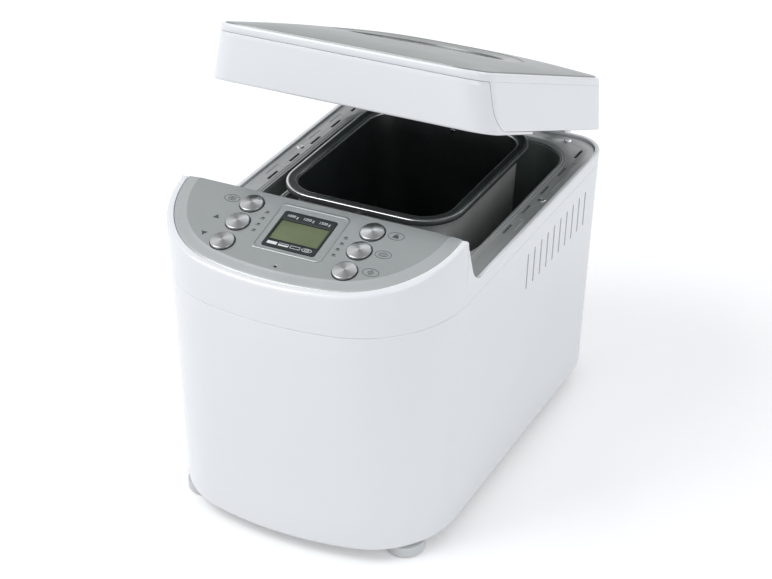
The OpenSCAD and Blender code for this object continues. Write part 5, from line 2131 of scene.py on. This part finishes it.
@dataclass
class Chamber:
    """The steel frame with its pressings and screws, and the deep-drawn baking chamber."""

    width: float = 196.0
    depth: float = 220.0
    radius: float = 37.0
    y: float = 40.75
    floor: float = 79.0
    frame_top: float = 212.0
    flange_top: float = 210.75
    foot_round: float = 16.0
    neck: float = 14.0

    def bead(self, path: Points, width: float = 0.55) -> bpy.types.Object:
        """A raised pressing along a path on the frame.

        Args:
            path: Flat places of the bead's middle.
            width: Its half width.

        Returns:
            The finished piece.
        """
        shape = Shape("pressed_bead")
        shape.tube(raised(path, self.frame_top + 0.05), width, 8)
        return shape.build(FRAME_STEEL, crease=60.0)

    def frame(self) -> None:
        """Dress the frame: softened sheet, beads round the opening and between the slots."""
        sheet = softened("chamber_frame_sheet", "chamber_frame", FRAME_STEEL, 0.5, 2)
        stands_for(sheet, "machine", "frame_steel", "chamber_frame")
        beads = [self.bead(self.opening_path(2.2)), self.bead(self.opening_path(4.6), 0.4)]
        for side in (-1.0, 1.0):
            for y in (9.0, 80.8, 116.7):
                x = side * 111.8
                corner = np.array([[x, y - 10.0], [x, y + 8.0], [x - side * 4.6, y + 8.0]])
                beads.append(self.bead(corner, 0.4))
        for bead in beads:
            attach(bead, "machine")

    def opening_path(self, out: float) -> Points:
        """The opening's edge from its left front to its right front, moved out."""
        reach = self.radius + out
        rear = self.y + self.depth / 2
        x = self.width / 2 - self.radius
        right = arc_points((x, rear - self.radius), reach, 0.0, 90.0, 12)
        front = np.array([[self.width / 2 + out, self.y - self.depth / 2 + 12.0]])
        half = np.concatenate([front, right])
        return np.concatenate([half, half[::-1] * np.array([-1.0, 1.0])])

    def screws(self) -> None:
        """Set out the four cross-head screws of the frame."""
        head = screw_head(3.3, 1.1, SCREW_STEEL)
        corners = ((111.0, 53.75), (88.0, 161.75))
        places = [(sx * x, y, self.frame_top) for sx in (-1, 1) for x, y in corners]
        screws = SetOut("frame_screw_heads", SCREW_STEEL.material()).run(head, places)
        stands_for(screws, "machine", "screw_steel", "frame_screws")

    def tub(self) -> None:
        """The chamber: flange, drawn edge, tall walls, rounded foot and the neck's hole."""
        size = (self.width, self.depth, self.radius, self.y)
        top, low, r = self.flange_top, self.floor, self.foot_round
        bend = 2.2
        rows = [(-7.0, top - 0.9), (-7.0, top), (-bend, top)]
        for t in (0.4, 0.8, 1.2):
            rows.append((-bend * (1 - math.sin(t)), top - bend * (1 - math.cos(t))))
        rows += [(0.0, top - 2.4), (0.0, (top + low) / 2), (0.0, low + r)]
        for t in np.linspace(0.15, 0.5, 7) * math.pi:
            rows.append((r - r * math.cos(t), low + r - r * math.sin(t)))
        rows += [(r + 20.0, low)]
        inside = [plan_row(*size, inset, z) for inset, z in rows]
        drive_y = Pan.y
        hole = rounded_plan(2 * self.neck, 2 * self.neck, self.neck - 0.01, (0.0, drive_y), 10)
        under = [(r + 18.0, low - 0.9), (r, low - 0.9), (r * 0.3, low + r * 0.25), (-0.9, low + r)]
        under += [(-0.9, (top + low) / 2), (-0.9, top - 2.4)]
        outside = [plan_row(*size, inset, z) for inset, z in under]
        loops = inside + [raised(hole, low), raised(hole, low - 0.9)] + outside
        shape = Shape("chamber_tub")
        shape.rings(loops, closed=True)
        tub = shape.build(CHAMBER_STEEL, crease=50.0)
        stands_for(tub, "machine", "chamber_steel", "baking_chamber")

    def fittings(self) -> None:
        """Soften the heater, the sensor and the hinge parts."""
        soften_all(
            ("heater_loop", "heater_element", HEATER_SHEATH, 0.3, 1, "machine", "heater_sheath"),
            ("hinge_ears", "hinge_brackets", WHITE_GLOSS, 0.6, 3, "machine", "white_gloss"),
            ("hinge_pin_ends", "hinge_pins", SCREW_STEEL, 0.5, 3, "machine", "screw_steel"),
            ("sensor_head", "temperature_sensor", SCREW_STEEL, 0.5, 3, "machine", "screw_steel"),
        )

    def build(self) -> None:
        """Build the frame, its screws, the tub and the fittings."""
        self.frame()
        self.screws()
        self.tub()
        self.fittings()


@dataclass
class Pan:
    """The lift-out pan with its rolled rim, base ring, bail and kneading paddle."""

    width: float = 154.0
    depth: float = 183.0
    radius: float = 34.0
    y: float = 39.25
    rim_z: float = 231.0
    rim: float = 10.0
    low: float = 103.0
    wall: float = 1.6
    floor: float = 2.0
    draft: float = 8.0
    foot_round: float = 11.0
    pivot_z: float = 221.0
    bail_reach: float = 88.0
    bail_y: float = 95.0
    bail_turn: float = 24.0
    bail_dip: float = 11.0
    grip_half: float = 35.0
    wire: float = 2.0

    def row(self, inset: float, z: float) -> Points:
        """One loop of the pan, moved in from the rim's outer edge."""
        return plan_row(self.width, self.depth, self.radius, self.y, inset, z)

    def wall_inset(self, z: float) -> float:
        """How far in the pan's inside lies at a height."""
        return self.rim + self.draft * (self.rim_z - z) / (self.rim_z - self.low)

    def body(self) -> None:
        """The drawn pan: dark inside and rim, bright beads, brushed outside."""
        floor_z = self.low + self.floor
        r = self.foot_round
        hub = 13.0
        circle = rounded_plan(2 * hub, 2 * hub, hub - 0.01, (0.0, self.y), 10)
        inside = [raised(circle, floor_z), self.row(self.wall_inset(floor_z) + r + 12.0, floor_z)]
        for t in np.linspace(0.0, 0.5, 7) * math.pi:
            z = floor_z + r - r * math.cos(t)
            inside.append(self.row(self.wall_inset(z) + r - r * math.sin(t), z))
        for z in np.linspace(floor_z + r + 12.0, self.rim_z - 3.2, 6):
            inside.append(self.row(self.wall_inset(z), z))
        top = self.rim_z
        edge = self.wall_inset(top - 3.0)
        bead = [(edge - 0.5, top - 1.9), (edge - 1.3, top - 0.9), (edge - 2.4, top - 0.6)]
        band = [(edge - 2.9, top - 0.75), (5.0, top - 0.25), (2.6, top - 0.3)]
        roll = [(1.9, top - 0.2), (1.1, top - 0.25), (0.5, top - 0.6)]
        skirt = [(0.05, top - 1.5), (0.0, top - 4.4), (0.3, top - 5.0), (1.2, top - 4.9)]
        skirt += [(1.5, top - 3.6), (2.2, top - 2.4), (7.0, top - 2.4)]
        heights = (top - 4.0, top - 20.0, (top + self.low) / 2, self.low + r + 8.0)
        outside = [self.row(self.wall_inset(z) - self.wall, z) for z in heights]
        outer = r + self.wall
        for t in np.linspace(0.5, 0.0, 7) * math.pi:
            z = self.low + outer - outer * math.cos(t)
            inset = self.wall_inset(z) - self.wall + outer
            outside.append(self.row(inset - outer * math.sin(t), z))
        outside.append(raised(circle, self.low))
        shape = Shape("pan_shell").rings(inside, caps=(False, False))
        last = inside[-1]
        for profile, look in ((bead, 2), (band, 0), (roll, 2), (skirt, 0)):
            rows = [self.row(*p) for p in profile]
            shape.rings([last] + rows, caps=(False, False), look=look)
            last = rows[-1]
        shape.rings([last] + outside + [inside[0]], caps=(False, False), look=1)
        pan = shape.build(PAN_INSIDE, PAN_OUTSIDE, RIM_BRIGHT, crease=45.0, weld=0.005)
        stands_for(pan, "pan", "pan_aluminium", "pan")

    def bail(self) -> None:
        """The wire bail, folded to the left, and its grip."""
        points = []
        for sy in (-1.0, 1.0):
            reach = self.bail_reach - self.bail_turn
            side = self.bail_y - self.bail_turn
            turns = arc_points((-reach, sy * side), self.bail_turn, 90.0 * sy, 180.0 * sy, 12)
            leg = np.concatenate([[[0.0, sy * self.bail_y]], turns])
            points.append(leg if sy < 0 else leg[::-1])
        flat = np.concatenate(points)
        turn = Matrix.Translation((0.0, self.y, self.pivot_z)) @ Matrix.Rotation(
            -math.radians(self.bail_dip), 4, "Y"
        )
        wire = Shape("bail_wire")
        wire.tube(moved(raised(flat, 0.0), turn), self.wire, 16)
        stands_for(wire.build(SCREW_STEEL, crease=50.0), "bail", "screw_steel", "handle_bail")
        grip = Shape("bail_grip")
        half = self.grip_half
        profile = [(2.05, -half + 0.6), (3.2, -half), (4.2, -half + 0.5), (4.7, -half + 1.8)]
        profile += [(4.55, -half + 4.0), (4.9, -half + 5.5), (5.0, 0.0)]
        profile += [(radius, -z) for radius, z in reversed(profile[:-1])]
        along = turn @ Matrix.Translation((-self.bail_reach, 0.0, 0.0)) @ Matrix.Rotation(
            math.radians(90.0), 4, "X"
        )
        grip.lathe(profile, along, 32)
        stands_for(grip.build(BLACK_PLASTIC, crease=50.0), "bail", "grip_black", "handle_grip")

    def fittings(self) -> None:
        """Soften the studs, the base ring and the paddle."""
        soften_all(
            ("bail_studs", "handle_pivots", SCREW_STEEL, 0.6, 3, "pan", "screw_steel"),
            ("base_ring", "pan_base_ring", PAN_OUTSIDE, 0.5, 2, "pan", "pan_aluminium"),
            ("paddle_blade", "kneading_paddle", PAN_INSIDE, 1.2, 3, "paddle", "non_stick"),
        )

    def build(self) -> None:
        """Build the pan, the bail and the fittings."""
        self.body()
        self.bail()
        self.fittings()


# ---------------------------------------------------------------------------
# Camera, floor and light
# ---------------------------------------------------------------------------


def facing(place: Sequence[float], target: Sequence[float]) -> Matrix:
    """The matrix of a camera or lamp at a place, turned towards a target."""
    aim = Vector(target) - Vector(place)
    return Matrix.Translation(place) @ aim.to_track_quat("-Z", "Y").to_matrix().to_4x4()


@dataclass
class Studio:
    """Camera at a raised three-quarter view, a pale floor and soft lamps."""

    camera_at: Place = (0.6372, -1.2005, 0.9299)
    looks_at: Place = (0.04194, -0.08125, 0.1832)
    lit: Place = (0.0, 0.0, 0.16)
    lens: float = 89.5
    roll: float = -1.04
    shift: float = -0.0018
    world_light: float = 0.55
    floor_size: float = 9.0
    lamps: list[bpy.types.Object] = field(default_factory=list)

    def camera(self) -> bpy.types.Object:
        """Place the camera and make it the scene's camera.

        Returns:
            The camera object.
        """
        data = bpy.data.cameras.new("camera")
        data.lens = self.lens
        data.sensor_width = 36.0
        data.sensor_fit = "HORIZONTAL"
        data.shift_x = self.shift
        data.clip_end = 30.0
        camera = linked("camera", data)
        roll = Matrix.Rotation(math.radians(self.roll), 4, "Z")
        camera.matrix_world = facing(self.camera_at, self.looks_at) @ roll
        bpy.context.scene.camera = camera
        return camera

    def floor(self) -> bpy.types.Object:
        """Make the pale floor, which the camera sees as plain white.

        Returns:
            The floor object.
        """
        half = self.floor_size / 2
        mesh = bpy.data.meshes.new("floor")
        mesh.from_pydata(
            [(-half, -half, 0.0), (half, -half, 0.0), (half, half, 0.0), (-half, half, 0.0)],
            [],
            [(0, 1, 2, 3)],
        )
        mesh.materials.append(FLOOR_MATT.material())
        floor = linked("floor", mesh)
        return floor

    def world(self) -> None:
        """Light the object evenly, and show white to the camera and to reflections."""
        world = bpy.data.worlds.new("studio")
        bpy.context.scene.world = world
        tree = Tree(world, "ShaderNodeOutputWorld")
        mix = tree.add("ShaderNodeMixShader")
        tree.link(tree.seen_rays(), mix.inputs[0])
        for slot, (colour, strength) in enumerate(
            (((0.93, 0.96, 1.0, 1.0), self.world_light), ((1.0, 1.0, 1.0, 1.0), 1.0)), start=1
        ):
            back = tree.add("ShaderNodeBackground", {"Color": colour, "Strength": strength})
            tree.link(back.outputs["Background"], mix.inputs[slot])
        tree.show(mix.outputs["Shader"])

    def lamp(
        self, name: str, place: Place, size: tuple[float, float], power: float
    ) -> bpy.types.Object:
        """Add one soft rectangular lamp that faces the object.

        Args:
            name: Name of the lamp.
            place: Where it stands, in metres.
            size: Its width and height, in metres.
            power: Its power in watts.

        Returns:
            The lamp object.
        """
        data = bpy.data.lights.new(name, "AREA")
        data.shape = "RECTANGLE"
        data.size, data.size_y = size
        data.energy = power
        lamp = linked(name, data)
        lamp.matrix_world = facing(place, self.lit)
        self.lamps.append(lamp)
        return lamp

    def build(self) -> None:
        """Set up the camera, the floor, the world and the lamps."""
        self.camera()
        self.floor()
        self.world()
        self.lamp("key_lamp", (-1.3, -1.1, 2.2), (1.5, 1.5), 34.0)
        self.lamp("fill_lamp", (2.0, -1.2, 1.3), (1.4, 1.8), 13.0)
        self.lamp("back_lamp", (0.6, 2.0, 1.9), (2.0, 1.0), 12.0)
        log.info("studio is set up with %d lamps", len(self.lamps))


def main() -> None:
    """Build every sub-assembly in order."""
    logging.basicConfig(level=logging.INFO, format="%(name)s: %(message)s")
    bpy.context.scene.view_settings.view_transform = "Standard"
    Studio().build()
    dress_cad_nodes()
    Housing().build()
    ControlPanel().build()
    Lid().build()
    Chamber().build()
    Pan().build()


if __name__ == "__main__":
    main()
